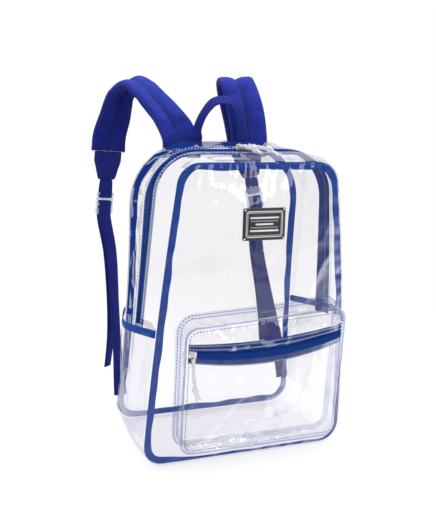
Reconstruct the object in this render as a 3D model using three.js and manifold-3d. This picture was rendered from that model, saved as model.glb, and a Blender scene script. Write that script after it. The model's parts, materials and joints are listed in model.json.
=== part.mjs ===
// A clear vinyl backpack with blue straps, zips and seam bindings, standing upright on its base.
// Millimetres, +Z up. The front faces -Y, and the origin is on the floor at the middle of the base.
import * as THREE from "three";
import { mergeVertices } from "three/addons/utils/BufferGeometryUtils.js";
import Module from "manifold-3d";

const wasm = await Module();
wasm.setup();

// Body sizes
const bodyHeight = 432; // floor to the top of the back seam
const bodyWidth = 310; // across the front seam at the floor
const bodyDepth = 160; // front seam to back seam at the floor
const crownDepth = 150; // front seam to back seam at the top
const crownRadius = 92; // top corners of the back seam
const footRadius = 30; // bottom corners of the seams
const frontSwell = 9; // how far the front panel bows out
const backSwell = 3; // how far the back panel bows out
const bodySway = 2.5; // how far its soft middle leans to the right

// Sheet, tape and webbing
const vinyl = 1; // wall of the clear sheet
const clearance = 0.35; // gap between neighbouring pieces
const bindingWidth = 10;
const bindingThickness = 1.6;
const webbingWidth = 20;
const webbingThickness = 1.8;

// Main zip, which runs over the top from one side to the other
const zipDepthShare = 0.42; // where it runs, from the front seam to the back seam
const zipFoot = 189; // height of its two ends
const zipOpening = 11; // between the two vinyl edges
const zipTape = 12.5; // width of one woven tape
const mainZipOpening = 28; // the same for the heavier zip over the top
const mainZipTape = 18;
const zipTapeThickness = 1;
const zipTapeGap = 1.2; // between the two tapes
const coilWidth = 6.5;
const coilHeight = 2;

// Front pocket
const pocketCentre = 4.5; // to the right of the body's middle
const pocketSeamCentre = 10; // the same for its seam on the front panel
const pocketWidth = 235; // across its front edge
const pocketSeamWidth = 230; // across its seam
const pocketFoot = 34;
const pocketTop = 217;
const pocketSway = 6.5; // how far its top sags at the left and rises at the right
const pocketSag = 17; // how far the middle of its face hangs down
const pocketDepth = 38;
const pocketRadius = 15;
const pocketSwell = 12;
const pocketZipHeight = 184; // centre of its zip
const flangeWidth = 10; // stitched rim of the pocket on the front panel
const pipingDiameter = 3; // clear bead round the pocket's front edge

// Side pockets
const sidePocketFront = 199; // height of the mouth at the front seam
const sidePocketBack = 183; // height of the mouth at the back seam
const sidePocketFoot = 40;
const sidePocketSwell = 16;
const mouthBinding = 11; // height of the blue tape along the mouth

// Badge on the front panel
const badgeWidth = 63;
const badgeHeight = 44;
const badgeThickness = 2;
const badgeRelief = 0.6;
const badgeHeightOnPanel = 341.5; // floor to its middle

// Shoulder straps
const strapWidth = 57;
const strapThickness = 12;
const strapSeamThickness = 5; // where it is sewn flat at its two ends
const strapReach = 72; // how far the loops stand behind the back panel
const strapRise = 88; // how far the loops stand above the back seam
const patchLength = 42;
const patchTopWidth = 45;
const patchFootWidth = 27;
const patchThickness = 5;

// Strap adjusters
const adjusterWidth = 28;
const adjusterHeight = 33;
const adjusterThickness = 4;
const adjusterDrop = 20; // patch to adjuster
const webbingFootHeight = 40; // floor to the sewn end of the lower webbing
const adjusterRadius = 3;
const slotWidth = 22.5;
const barSizes = { top: 4, middle: 3, lower: 4 };
const slotSizes = { top: 4.5, middle: 4.5, lower: 4 };

// Haul loop
const haulSpan = 76;
const haulRise = 60;
const haulCentre = 2; // to the right of the body's middle

// Longest straight step along a curved band
const strapStep = 17;
const webbingStep = webbingWidth;
const haulStep = webbingWidth / 2;

// Zip sliders and their pulls
const sliderLength = 11;
const sliderWidth = 9.5;
const sliderPlate = 1.4;
const bailDiameter = 1.8;
const bailRadius = 2.3;
const pullDiameter = 5;
const knotDiameter = 11;
const tailDiameter = 2.8;

// Derived places
const backFace = bodyDepth / 2;
const halfWidth = bodyWidth / 2;
const pocketHalf = pocketWidth / 2;
const pocketSeamHalf = pocketSeamWidth / 2;

// Body sections from the front seam to the back seam. foot and crown are shares of half the body
// width, height is a share of the body height, the rounds are shares of the two corner radii, and
// bow is how far the sides swell at mid-height, in millimetres.
const bodySections = [
  { depth: 0.0, foot: 1.0, crown: 0.785, height: 0.984, crownRound: 0.37, footRound: 1.0, bow: 4.5 },
  { depth: 0.2, foot: 1.015, crown: 0.85, height: 0.99, crownRound: 0.54, footRound: 1.1, bow: 2 },
  { depth: 0.42, foot: 1.015, crown: 0.9, height: 0.999, crownRound: 0.76, footRound: 1.2, bow: 2 },
  { depth: 0.72, foot: 0.985, crown: 0.905, height: 1.001, crownRound: 1.0, footRound: 1.2, bow: -4 },
  { depth: 1.0, foot: 0.95, crown: 0.885, height: 1.0, crownRound: 1.0, footRound: 1.0, bow: -4 },
];

// Legs of half a seam loop, from the middle of the foot to the middle of the crown. until is where
// the leg ends, as a share of the whole loop, and steps is how many straight edges it is made of.
const loopLegs = [
  { name: "foot", until: 0.09, steps: 3 },
  { name: "footCorner", until: 0.14, steps: 3 },
  { name: "side", until: 0.34, steps: 7 },
  { name: "crownCorner", until: 0.42, steps: 5 },
  { name: "crown", until: 0.5, steps: 3 },
];

// Shoulder strap centrelines, from the sewn end over the top and down. across is a share of
// half the body width, back of the strap reach and up of the strap rise above the back seam. lean
// and turn tilt the strap's width up and back, in degrees, and pad is how full it is.
const leftStrapRows = [
  { across: -0.364, back: 0.12, up: -0.3, lean: 0, turn: 0, pad: 0 },
  { across: -0.37, back: 0.16, up: 0.02, lean: 3, turn: 4, pad: 0.35 },
  { across: -0.487, back: 0.26, up: 0.38, lean: 18, turn: 32, pad: 1 },
  { across: -0.595, back: 0.42, up: 0.62, lean: 19, turn: 46, pad: 1 },
  { across: -0.68, back: 0.6, up: 0.785, lean: 15, turn: 47, pad: 1 },
  { across: -0.775, back: 0.82, up: 0.88, lean: 7, turn: 46, pad: 1 },
  { across: -0.84, back: 0.99, up: 0.66, lean: -3, turn: 34, pad: 1 },
  { across: -0.893, back: 1.03, up: 0.26, lean: -6, turn: 22, pad: 1 },
  { across: -0.943, back: 1.02, up: -0.06, lean: -3, turn: 16, pad: 1 },
  { across: -0.953, back: 1.0, up: -0.3, lean: -1, turn: 12, pad: 0.1 },
];
const rightStrapRows = [
  { across: 0.364, back: 0.12, up: -0.3, lean: 0, turn: 0, pad: 0 },
  { across: 0.358, back: 0.16, up: 0.02, lean: -2, turn: -6, pad: 0.35 },
  { across: 0.325, back: 0.26, up: 0.45, lean: -4, turn: -10, pad: 1 },
  { across: 0.295, back: 0.4, up: 0.74, lean: -2, turn: -6, pad: 1 },
  { across: 0.28, back: 0.58, up: 0.93, lean: 1, turn: 0, pad: 1 },
  { across: 0.295, back: 0.8, up: 0.95, lean: 3, turn: -6, pad: 1 },
  { across: 0.35, back: 0.99, up: 0.76, lean: 3, turn: -12, pad: 1 },
  { across: 0.445, back: 1.03, up: 0.26, lean: 8, turn: -12, pad: 1 },
  { across: 0.52, back: 1.0, up: -0.3, lean: 7, turn: -10, pad: 0.1 },
];

// Lower webbing, from its sewn end at the foot of the back panel up to the adjuster. across and
// back are as above, up is a share of the height from the sewn end to the adjuster, and turn is
// how far the webbing's width is turned back, in degrees.
const webbingFootAcross = 0.9;
const leftWebbingRows = [
  { across: 0.905, back: 0.04, up: 0.06, turn: 8 },
  { across: 0.905, back: 0.2, up: 0.18, turn: 30 },
  { across: 0.9, back: 0.38, up: 0.3, turn: 38 },
  { across: 0.9, back: 0.6, up: 0.5, turn: 36 },
  { across: 0.915, back: 0.83, up: 0.78, turn: 26 },
];
const rightWebbingRows = [
  { across: 0.89, back: 0.04, up: 0.06, turn: -4 },
  { across: 0.87, back: 0.2, up: 0.18, turn: -12 },
  { across: 0.84, back: 0.38, up: 0.3, turn: -20 },
  { across: 0.77, back: 0.6, up: 0.5, turn: -20 },
  { across: 0.68, back: 0.83, up: 0.78, turn: -16 },
];
// The free tail below the adjuster, with up and turn as above.
const leftTailRows = [
  { across: 0.93, back: 0.98, up: 0.78, turn: 26 },
  { across: 0.915, back: 0.78, up: 0.5, turn: 36 },
  { across: 0.93, back: 0.62, up: 0.3, turn: 40 },
  { across: 0.965, back: 0.55, up: 0.12, turn: 46 },
];
const rightTailRows = [
  { across: 0.69, back: 0.98, up: 0.78, turn: -14 },
  { across: 0.76, back: 0.8, up: 0.5, turn: -18 },
  { across: 0.8, back: 0.68, up: 0.3, turn: -24 },
  { across: 0.82, back: 0.62, up: 0.12, turn: -28 },
];

// Haul loop, from one foot to the other. span is a share of the haul span and rise of the haul rise
// above the back seam. turn is how far the loop has turned over, and tilt how far its face looks
// up, in degrees.
const haulRows = [
  { span: -0.5, rise: -0.44, back: 0, turn: 0, tilt: 0 },
  { span: -0.5, rise: -0.05, back: 0, turn: 0, tilt: 4 },
  { span: -0.47, rise: 0.3, back: -2, turn: 12, tilt: 76 },
  { span: -0.37, rise: 0.66, back: -5, turn: 36, tilt: 78 },
  { span: -0.19, rise: 0.94, back: -7, turn: 66, tilt: 68 },
  { span: 0, rise: 1, back: -8, turn: 90, tilt: 60 },
  { span: 0.19, rise: 0.94, back: -7, turn: 114, tilt: 52 },
  { span: 0.37, rise: 0.66, back: -5, turn: 144, tilt: 32 },
  { span: 0.47, rise: 0.3, back: -2, turn: 168, tilt: 14 },
  { span: 0.5, rise: -0.05, back: 0, turn: 180, tilt: 2 },
  { span: 0.5, rise: -0.44, back: 0, turn: 180, tilt: 0 },
];

// Sliders of the main zip, from the body's middle
const mainSliderPlaces = { left: -7.5, right: 4.5 };
const pocketSliderInset = 1.8; // from the pocket's left edge

// Routes of the three pull cords, chosen by hand, from beside the slider's bail to the knot, and
// the two ends that hang out of each knot. They are counted from the slider's place on the zip.
const pulls = {
  pocket: {
    route: [
      [-0.3, -5.6, -3.9],
      [-0.5, -6.2, -10.1],
      [0.3, -6.2, -22.1],
      [1.7, -6.8, -33.1],
      [2.9, -7.6, -41.9],
    ],
    ends: [
      [6.3, -9.4, -63.6],
      [10.7, -10.2, -60.1],
    ],
  },
  left: {
    route: [
      [0.5, -2.4, 5.9],
      [2.5, -7, 6],
      [6.5, -13, 5.5],
      [11, -19.5, 4.9],
    ],
    ends: [
      [21.5, -34, 0.6],
      [17.5, -36.5, 0],
    ],
  },
  right: {
    route: [
      [3, -2.4, 5.9],
      [7.5, -8, 6.1],
      [13.5, -17, 5.4],
      [19, -25, 4.6],
    ],
    ends: [
      [33.5, -43, -0.9],
      [28.5, -47, -1.6],
    ],
  },
};

const lerp = THREE.MathUtils.lerp;
const radians = THREE.MathUtils.degToRad;
const clamp = THREE.MathUtils.clamp;

// Evenly spaced values from a to b.
function spread(a, b, steps) {
  return Array.from({ length: steps + 1 }, (_, i) => lerp(a, b, i / steps));
}

// A closed mesh from a soup of triangles, turned so that its faces point out.
function solidFrom(triangles) {
  const kept = triangles.filter(
    ([a, b, c]) => a.distanceTo(b) > 1e-5 && b.distanceTo(c) > 1e-5 && c.distanceTo(a) > 1e-5,
  );
  const volume = kept.reduce((sum, [a, b, c]) => sum + a.dot(b.clone().cross(c)), 0);
  const corners = kept.flatMap(([a, b, c]) => (volume < 0 ? [a, c, b] : [a, b, c]));
  const geometry = new THREE.BufferGeometry().setFromPoints(corners);
  geometry.computeVertexNormals();
  return geometry;
}

// A closed wall between two grids of points. A ring joins its last row to its first.
function wall(outer, inner, ring) {
  const triangles = [];
  const quad = (a, b, c, d) => triangles.push([a, b, c], [a, c, d]);
  const rows = outer.length;
  const last = outer[0].length - 1;
  for (let i = 0; i < (ring ? rows : rows - 1); i++) {
    const k = (i + 1) % rows;
    for (let j = 0; j < last; j++) {
      quad(outer[i][j], outer[k][j], outer[k][j + 1], outer[i][j + 1]);
      quad(inner[i][j + 1], inner[k][j + 1], inner[k][j], inner[i][j]);
    }
    quad(inner[i][0], inner[k][0], outer[k][0], outer[i][0]);
    quad(outer[i][last], outer[k][last], inner[k][last], inner[i][last]);
  }
  if (!ring) {
    for (let j = 0; j < last; j++) {
      quad(outer[0][j], outer[0][j + 1], inner[0][j + 1], inner[0][j]);
      quad(inner[rows - 1][j], inner[rows - 1][j + 1], outer[rows - 1][j + 1], outer[rows - 1][j]);
    }
  }
  return solidFrom(triangles);
}

// A sheet on a skin: us and vs are where the skin is sampled, and outer and inner are how far the
// sheet's two faces stand out from it, along normal(u, v) if that is given.
function sheet({ us, vs, skin, normal, outer = 0, inner = -vinyl, ring = false }) {
  const step = 1e-3;
  const slope = (u, v, du, dv) => {
    const high = [clamp(u + du, us[0] - du * ring, us.at(-1) + du * ring), Math.min(v + dv, vs.at(-1))];
    const low = [clamp(u - du, us[0] - du * ring, us.at(-1) + du * ring), Math.max(v - dv, vs[0])];
    return skin(...high).sub(skin(...low));
  };
  const out = normal ?? ((u, v) => slope(u, v, 0, step).cross(slope(u, v, step, 0)).normalize());
  const face = (reach) =>
    us.map((u) =>
      vs.map((v) => {
        const distance = typeof reach === "function" ? reach(u, v) : reach;
        return skin(u, v).addScaledVector(out(u, v), distance);
      }),
    );
  return wall(face(outer), face(inner), ring);
}

// A band or pad along frames, each with an origin, a width vector and a depth vector.
function loft(frames, profile) {
  const rings = frames.map((frame) =>
    profile(frame).map(([across, out]) =>
      frame.origin.clone().addScaledVector(frame.wide, across).addScaledVector(frame.deep, out),
    ),
  );
  const sides = rings[0].length;
  const triangles = [];
  for (let i = 0; i + 1 < rings.length; i++) {
    for (let j = 0; j < sides; j++) {
      const k = (j + 1) % sides;
      triangles.push([rings[i][j], rings[i + 1][j], rings[i + 1][k]]);
      triangles.push([rings[i][j], rings[i + 1][k], rings[i][k]]);
    }
  }
  const cap = (ring, origin, turned) => {
    for (let j = 0; j < sides; j++) {
      const pair = [ring[j], ring[(j + 1) % sides]];
      triangles.push([origin, ...(turned ? pair.reverse() : pair)]);
    }
  };
  cap(rings[0], frames[0].origin, false);
  cap(rings.at(-1), frames.at(-1).origin, true);
  return solidFrom(triangles);
}

// Frames along a smooth curve through points, with a width vector at each. Every point has a
// frame of its own, with more between two points that are further apart than the spacing.
function framesAlong(points, widths, spacing, extras = []) {
  const line = new THREE.CatmullRomCurve3(points, false, "centripetal");
  const turns = new THREE.CatmullRomCurve3(widths, false, "centripetal");
  const spans = points.slice(1).map((point, i) => Math.ceil(point.distanceTo(points[i]) / spacing));
  const inside = spans.flatMap((count, i) => spread(i, i + 1, count).slice(1));
  return [0, ...inside].map((stop) => {
    const t = stop / (points.length - 1);
    const tangent = line.getTangent(t);
    const wide = turns.getPoint(t);
    wide.addScaledVector(tangent, -wide.dot(tangent)).normalize();
    const place = t * (points.length - 1);
    const row = Math.min(Math.floor(place), points.length - 2);
    const extra = extras.length ? lerp(extras[row], extras[row + 1], place - row) : 0;
    return { origin: line.getPoint(t), wide, deep: tangent.clone().cross(wide), tangent, extra };
  });
}

// The section of flat webbing.
function webbingProfile(width = webbingWidth, thickness = webbingThickness) {
  const w = width / 2;
  const h = thickness / 2;
  return () => [
    [-w, -h],
    [w, -h],
    [w, h],
    [-w, h],
  ];
}

// manifold-3d joins and cuts.
function toManifold(geometry) {
  const bare = geometry.clone();
  bare.deleteAttribute("normal");
  bare.deleteAttribute("uv");
  const merged = mergeVertices(bare, 1e-4);
  return new wasm.Manifold(
    new wasm.Mesh({
      numProp: 3,
      vertProperties: merged.attributes.position.array,
      triVerts: new Uint32Array(merged.index.array),
    }),
  );
}

function fused(geometries) {
  const made = geometries.map(toManifold).reduce((a, b) => a.add(b));
  const mesh = made.getMesh();
  const geometry = new THREE.BufferGeometry();
  geometry.setAttribute("position", new THREE.BufferAttribute(mesh.vertProperties, 3));
  geometry.setIndex(new THREE.BufferAttribute(mesh.triVerts, 1));
  geometry.computeVertexNormals();
  return geometry;
}

// Where a loop is sampled between two shares of its length.
function loopStops(from, to) {
  const half = loopLegs.flatMap((leg, i) =>
    spread(i ? loopLegs[i - 1].until : 0, leg.until, leg.steps).slice(1),
  );
  const whole = [0, ...half, ...half.slice(0, -1).map((u) => 1 - u).reverse()];
  const laps = [...whole.map((u) => u - 1), ...whole];
  const inside = laps.filter((u) => u > from + 1e-3 && u < to - 1e-3);
  return [from, ...inside, to];
}

// The same, all the way round.
function loopRing() {
  return loopStops(0, 1).slice(0, -1);
}

// A point of a rounded loop, in the plane of the seams: u = 0 is the middle of its foot.
function loopPoint(section, u) {
  const { foot, crown, bottom, top, footRound, crownRound, bow = 0, sway = 0 } = section;
  const share = ((u % 1) + 1) % 1;
  const side = share > 0.5 ? -1 : 1;
  const v = share > 0.5 ? 1 - share : share;
  const index = loopLegs.findIndex((leg) => v <= leg.until + 1e-9);
  const from = index ? loopLegs[index - 1].until : 0;
  const k = (v - from) / (loopLegs[index].until - from);
  const turn = (k * Math.PI) / 2;
  const places = {
    foot: () => [(foot - footRound) * k, bottom],
    footCorner: () => [
      foot - footRound + footRound * Math.sin(turn),
      bottom + footRound - footRound * Math.cos(turn),
    ],
    side: () => [
      lerp(foot, crown, k) + bow * 4 * k * (1 - k),
      lerp(bottom + footRound, top - crownRound, k),
    ],
    crownCorner: () => [
      crown - crownRound + crownRound * Math.cos(turn),
      top - crownRound + crownRound * Math.sin(turn),
    ],
    crown: () => [(crown - crownRound) * (1 - k), top],
  };
  const [x, z] = places[loopLegs[index].name]();
  return { x: side * x + sway * Math.sin((Math.PI * z) / top), z };
}

// The body's section at a share of its depth, in millimetres.
function bodySection(depth) {
  const place = clamp(depth, 0, 1);
  const index = Math.max(1, bodySections.findIndex((row) => place <= row.depth));
  const [a, b] = [bodySections[index - 1], bodySections[index]];
  const k = (place - a.depth) / (b.depth - a.depth);
  return {
    foot: lerp(a.foot, b.foot, k) * halfWidth,
    crown: lerp(a.crown, b.crown, k) * halfWidth,
    bottom: 0,
    top: lerp(a.height, b.height, k) * bodyHeight,
    footRound: lerp(a.footRound, b.footRound, k) * footRadius,
    crownRound: lerp(a.crownRound, b.crownRound, k) * crownRadius,
    bow: lerp(a.bow, b.bow, k),
    sway: bodySway,
  };
}

function depthAt(z) {
  return lerp(bodyDepth, crownDepth, z / bodyHeight);
}

// The body's outer skin round the sides, top and base.
function bodySkin(u, depth) {
  const { x, z } = loopPoint(bodySection(depth), u);
  return new THREE.Vector3(x, backFace - (1 - depth) * depthAt(z), z);
}

// The share of the loop at which the body's side has a given height.
function loopShareAt(z, depth) {
  const { bottom, top, footRound, crownRound } = bodySection(depth);
  const k = (z - bottom - footRound) / (top - crownRound - bottom - footRound);
  return lerp(loopLegs[1].until, loopLegs[2].until, k);
}

// How far a panel bows out at a place, as a share: 1 in the middle and 0 along the seam.
function swellShare(x, z, half, bottom, top) {
  const across = clamp(1 - (x / half) ** 2, 0, 1);
  const up = clamp(1 - ((2 * z - bottom - top) / (top - bottom)) ** 2, 0, 1);
  return across * up;
}

// The same share for a panel that fills a seam.
function panelSwell({ foot, crown, bottom, top, footRound, crownRound, bow, sway }, x, z) {
  const k = clamp((z - bottom - footRound) / (top - crownRound - bottom - footRound), 0, 1);
  const half = lerp(foot, crown, k) + bow * 4 * k * (1 - k);
  return swellShare(x - sway * Math.sin((Math.PI * z) / top), z, half, bottom, top);
}

function frontSkinY(x, z) {
  return backFace - depthAt(z) - frontSwell * panelSwell(bodySection(0), x, z);
}

function backSkinY(x, z) {
  return backFace + backSwell * panelSwell(bodySection(1), x, z);
}

// A panel that fills a seam loop, from the seam (v = 0) to its middle (v = 1).
function panel(section, skinY, out) {
  const middle = new THREE.Vector2(0, (section.bottom + section.top) / 2);
  const skin = (u, v) => {
    const edge = loopPoint(section, u);
    const x = lerp(edge.x, middle.x, v);
    const z = lerp(edge.z, middle.y, v);
    return new THREE.Vector3(x, skinY(x, z), z);
  };
  const normal = () => new THREE.Vector3(0, out, 0);
  return sheet({ us: loopRing(), vs: [0, 0.2, 0.45, 0.72, 1], skin, normal, ring: true });
}

// Millimetres along the body's depth, as a share of it.
const depthShare = (length) => length / bodyDepth;
const seamGap = depthShare(vinyl + clearance);
const zipEdge = depthShare(mainZipOpening / 2);
const zipTapeEdge = depthShare(zipTapeGap / 2 + mainZipTape);

// A strip of the body's skin between two shares of its depth and two of its loop.
function bodyStrip(fromLoop, toLoop, fromDepth, toDepth, layer = {}) {
  const rows = bodySections.map((row) => row.depth);
  const tapes = [zipDepthShare - zipTapeEdge, zipDepthShare + zipTapeEdge];
  const inside = [...rows, ...tapes].filter((d) => d > fromDepth + 0.02 && d < toDepth - 0.02);
  const vs = [fromDepth, ...inside.sort((a, b) => a - b), toDepth];
  return sheet({ us: loopStops(fromLoop, toLoop), vs, skin: bodySkin, ...layer });
}

const zipStart = loopShareAt(zipFoot, zipDepthShare);
const tapeDrop = vinyl + 1.5 * clearance; // from the skin to the tape's outer face
const tapeLayer = { outer: -tapeDrop, inner: -tapeDrop - zipTapeThickness };

function gussetBase() {
  const rows = bodySections.map((row) => row.depth).filter((d) => d > 0 && d < 1);
  const shareGap = clearance / (2 * bodyHeight);
  return sheet({
    us: loopStops(-zipStart + shareGap, zipStart - shareGap),
    vs: [seamGap, ...rows, 1 - seamGap],
    skin: bodySkin,
  });
}

// The binding lies along a panel's inner face, with its outer edge at the seam.
function seamBinding(depth, skinY, inward) {
  const section = bodySection(depth);
  const offset = vinyl + clearance;
  const skin = (u, v) => {
    const edge = loopPoint(section, u);
    const before = loopPoint(section, u - 1e-3);
    const after = loopPoint(section, u + 1e-3);
    const along = new THREE.Vector2(after.x - before.x, after.z - before.z).normalize();
    const reach = offset + v * bindingWidth;
    const x = edge.x - along.y * reach;
    const z = edge.z + along.x * reach;
    return new THREE.Vector3(x, skinY(x, z) + inward * offset, z);
  };
  const normal = () => new THREE.Vector3(0, inward, 0);
  return sheet({
    us: loopRing(),
    vs: [0, 1],
    skin,
    normal,
    outer: 0,
    inner: bindingThickness,
    ring: true,
  });
}

// Main zip: two tapes behind the vinyl's edges and the coil between them.
function mainTape(side) {
  const near = zipDepthShare + side * depthShare(zipTapeGap / 2);
  const far = zipDepthShare + side * zipTapeEdge;
  const [from, to] = [Math.min(near, far), Math.max(near, far)];
  const us = loopStops(zipStart, 1 - zipStart);
  return sheet({ us, vs: [from, to], skin: bodySkin, ...tapeLayer });
}

function mainCoil() {
  const half = depthShare(coilWidth / 2);
  return sheet({
    us: loopStops(zipStart, 1 - zipStart),
    vs: [zipDepthShare - half, zipDepthShare, zipDepthShare + half],
    skin: bodySkin,
    outer: (u, v) => (Math.abs(v - zipDepthShare) < half / 2 ? coilHeight - vinyl : 0),
    inner: -vinyl,
  });
}

// Side pocket: a sheet that stands off the body's side, fullest at its mouth.
function sidePocketSkin(side) {
  return (depth, rise) => {
    const mouth = lerp(sidePocketFront, sidePocketBack, depth);
    const share = loopShareAt(lerp(sidePocketFoot, mouth, rise), depth);
    const u = side > 0 ? share : 1 - share;
    const at = bodySkin(u, depth);
    const stand = sidePocketSwell * Math.sin(Math.PI * depth) * Math.sin((Math.PI / 2) * rise ** 0.8);
    at.x += side * (clearance + vinyl + stand);
    return at;
  };
}

const pocketShares = [seamGap, 0.1, 0.2, 0.31, 0.42, 0.57, 0.72, 0.86, 1 - seamGap];
const mouthShare = mouthBinding / (sidePocketFront - sidePocketFoot);

function sidePocket(side) {
  const skin = sidePocketSkin(side);
  return sheet({
    us: pocketShares,
    vs: spread(0, 1 - mouthShare, 4),
    skin,
    normal: () => new THREE.Vector3(side, 0, 0),
  });
}

function sidePocketBinding(side) {
  const skin = sidePocketSkin(side);
  const gap = clearance / (sidePocketFront - sidePocketFoot);
  return sheet({
    us: pocketShares,
    vs: [1 - mouthShare + gap, 1],
    skin,
    normal: () => new THREE.Vector3(side, 0, 0),
    outer: (bindingThickness - vinyl) / 2,
    inner: -(bindingThickness + vinyl) / 2,
  });
}

// Front pocket: a gusset that stands on the front panel and a face with a zip across it.
function pocketLoop(half, grow = 0) {
  return {
    foot: half + grow,
    crown: half + grow,
    bottom: pocketFoot - grow,
    top: pocketTop + grow,
    footRound: pocketRadius + grow,
    crownRound: pocketRadius + grow,
  };
}

// The pocket's sag at a place on it, counted from its own middle.
function sagged(x, z) {
  const rise = (z - pocketFoot) / (pocketTop - pocketFoot);
  return z + pocketSway * (x / pocketHalf) * rise;
}

const pocketFace = frontSkinY(pocketHalf, (pocketFoot + pocketTop) / 2) - pocketDepth;

function pocketGusset() {
  const skin = (u, v) => {
    const base = loopPoint(pocketLoop(pocketSeamHalf), u);
    const front = loopPoint(pocketLoop(pocketHalf), u);
    const x = lerp(pocketSeamCentre + base.x, pocketCentre + front.x, v);
    const z = lerp(sagged(base.x, base.z), sagged(front.x, front.z), v);
    const seamZ = sagged(base.x, base.z);
    const seam = frontSkinY(pocketSeamCentre + base.x, seamZ) - clearance - vinyl / 2;
    return new THREE.Vector3(x, lerp(seam, pocketFace + vinyl + clearance, v), z);
  };
  const normal = (u, v) => {
    const along = skin(u + 1e-3, v).sub(skin(u - 1e-3, v));
    return new THREE.Vector3(along.z, 0, -along.x).normalize();
  };
  return sheet({ us: loopRing(), vs: [0, 0.5, 1], skin, normal, ring: true });
}

function pocketFlange() {
  const skin = (u, v) => {
    const grow = clearance + v * flangeWidth;
    const flat = loopPoint(pocketLoop(pocketSeamHalf, grow), u);
    const x = pocketSeamCentre + flat.x;
    const z = sagged(flat.x, flat.z);
    return new THREE.Vector3(x, frontSkinY(x, z), z);
  };
  const normal = () => new THREE.Vector3(0, -1, 0);
  const outer = clearance + vinyl;
  return sheet({ us: loopRing(), vs: [0, 1], skin, normal, outer, inner: clearance, ring: true });
}

// Half the face's width at a height, inside its rounded corners.
function pocketHalfAt(z) {
  const short = Math.max(pocketFoot + pocketRadius - z, z - pocketTop + pocketRadius, 0);
  return pocketHalf - pocketRadius + Math.sqrt(Math.max(pocketRadius ** 2 - short ** 2, 0));
}

function pocketFaceSkin(across, z) {
  const x = pocketHalfAt(z) * across;
  const share = swellShare(x, z, pocketHalf, pocketFoot, pocketTop);
  const y = pocketFace - pocketSwell * share;
  return new THREE.Vector3(pocketCentre + x, y, sagged(x, z) - pocketSag * share);
}

const faceSteps = 12;
const faceAcross = spread(-1, 1, faceSteps);
const faceNormal = () => new THREE.Vector3(0, -1, 0);

function pocketFaceLower() {
  const corner = spread(0, 1, 3).map((k) => pocketRadius * (1 - Math.cos((k * Math.PI) / 2)));
  const rows = corner.map((rise) => pocketFoot + rise);
  const top = pocketZipHeight - zipOpening / 2;
  const upper = spread(rows.at(-1), top, 5).slice(1);
  return sheet({ us: faceAcross, vs: [...rows, ...upper], skin: pocketFaceSkin, normal: faceNormal });
}

function pocketFaceUpper() {
  const corner = spread(0, 1, 3).map((k) => pocketRadius * Math.sin((k * Math.PI) / 2));
  const rows = corner.map((rise) => pocketTop - pocketRadius + rise);
  const vs = [pocketZipHeight + zipOpening / 2, ...rows];
  return sheet({ us: faceAcross, vs, skin: pocketFaceSkin, normal: faceNormal });
}

// A strip across the face, between two heights above the zip's centre.
function faceStrip(low, high, layer) {
  const inset = 1 - (2 * (vinyl + clearance)) / pocketHalf;
  return sheet({
    us: faceAcross.map((across) => across * inset),
    vs: [pocketZipHeight + low, pocketZipHeight + high],
    skin: pocketFaceSkin,
    normal: faceNormal,
    ...layer,
  });
}

function pocketPiping() {
  const radius = pipingDiameter / 2;
  const section = pocketLoop(pocketHalf, clearance + radius);
  const sides = 6;
  const frames = loopRing().map((u) => {
    const { x, z } = loopPoint(section, u);
    const [before, after] = [loopPoint(section, u - 1e-3), loopPoint(section, u + 1e-3)];
    const out = new THREE.Vector3(after.z - before.z, 0, before.x - after.x).normalize();
    const middle = new THREE.Vector3(pocketCentre + x, pocketFace + radius / 2, sagged(x, z));
    return { middle, out };
  });
  const triangles = [];
  const corner = ({ middle, out }, j) => {
    const turn = (2 * Math.PI * j) / sides;
    return middle
      .clone()
      .addScaledVector(out, radius * Math.cos(turn))
      .add(new THREE.Vector3(0, radius * Math.sin(turn), 0));
  };
  frames.forEach((frame, i) => {
    const next = frames[(i + 1) % frames.length];
    for (let j = 0; j < sides; j++) {
      const [a, b] = [corner(frame, j), corner(next, j)];
      const [c, d] = [corner(next, j + 1), corner(frame, j + 1)];
      triangles.push([a, b, c], [a, c, d]);
    }
  });
  return solidFrom(triangles);
}

// Rubber badge: a plate with a raised frame, four studs and plain bars.
function roundedShape(width, height, radius) {
  const [w, h] = [width / 2, height / 2];
  const shape = new THREE.Shape();
  shape.moveTo(-w + radius, -h);
  shape.lineTo(w - radius, -h);
  shape.quadraticCurveTo(w, -h, w, -h + radius);
  shape.lineTo(w, h - radius);
  shape.quadraticCurveTo(w, h, w - radius, h);
  shape.lineTo(-w + radius, h);
  shape.quadraticCurveTo(-w, h, -w, h - radius);
  shape.lineTo(-w, -h + radius);
  shape.quadraticCurveTo(-w, -h, -w + radius, -h);
  return shape;
}

function badge() {
  const margin = 4;
  const line = 1.2;
  const plain = { depth: badgeThickness, bevelEnabled: false, curveSegments: 3 };
  const raised = { ...plain, depth: badgeThickness + badgeRelief };
  const plate = new THREE.ExtrudeGeometry(roundedShape(badgeWidth, badgeHeight, 2), plain);
  const frame = roundedShape(badgeWidth - 2 * margin, badgeHeight - 2 * margin, margin);
  const inside = 2 * (margin + line);
  frame.holes.push(roundedShape(badgeWidth - inside, badgeHeight - inside, margin - line));
  const pieces = [plate, new THREE.ExtrudeGeometry(frame, raised)];
  const barWidth = badgeWidth - 5 * margin;
  const bars = [
    { up: 0.2, wide: 1 },
    { up: 0, wide: 0.62 },
    { up: -0.2, wide: 1 },
  ];
  for (const { up, wide } of bars) {
    const bar = new THREE.ExtrudeGeometry(roundedShape(barWidth * wide, 2 * line, line), raised);
    pieces.push(bar.translate(0, up * badgeHeight, 0));
  }
  return fused(pieces);
}

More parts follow.
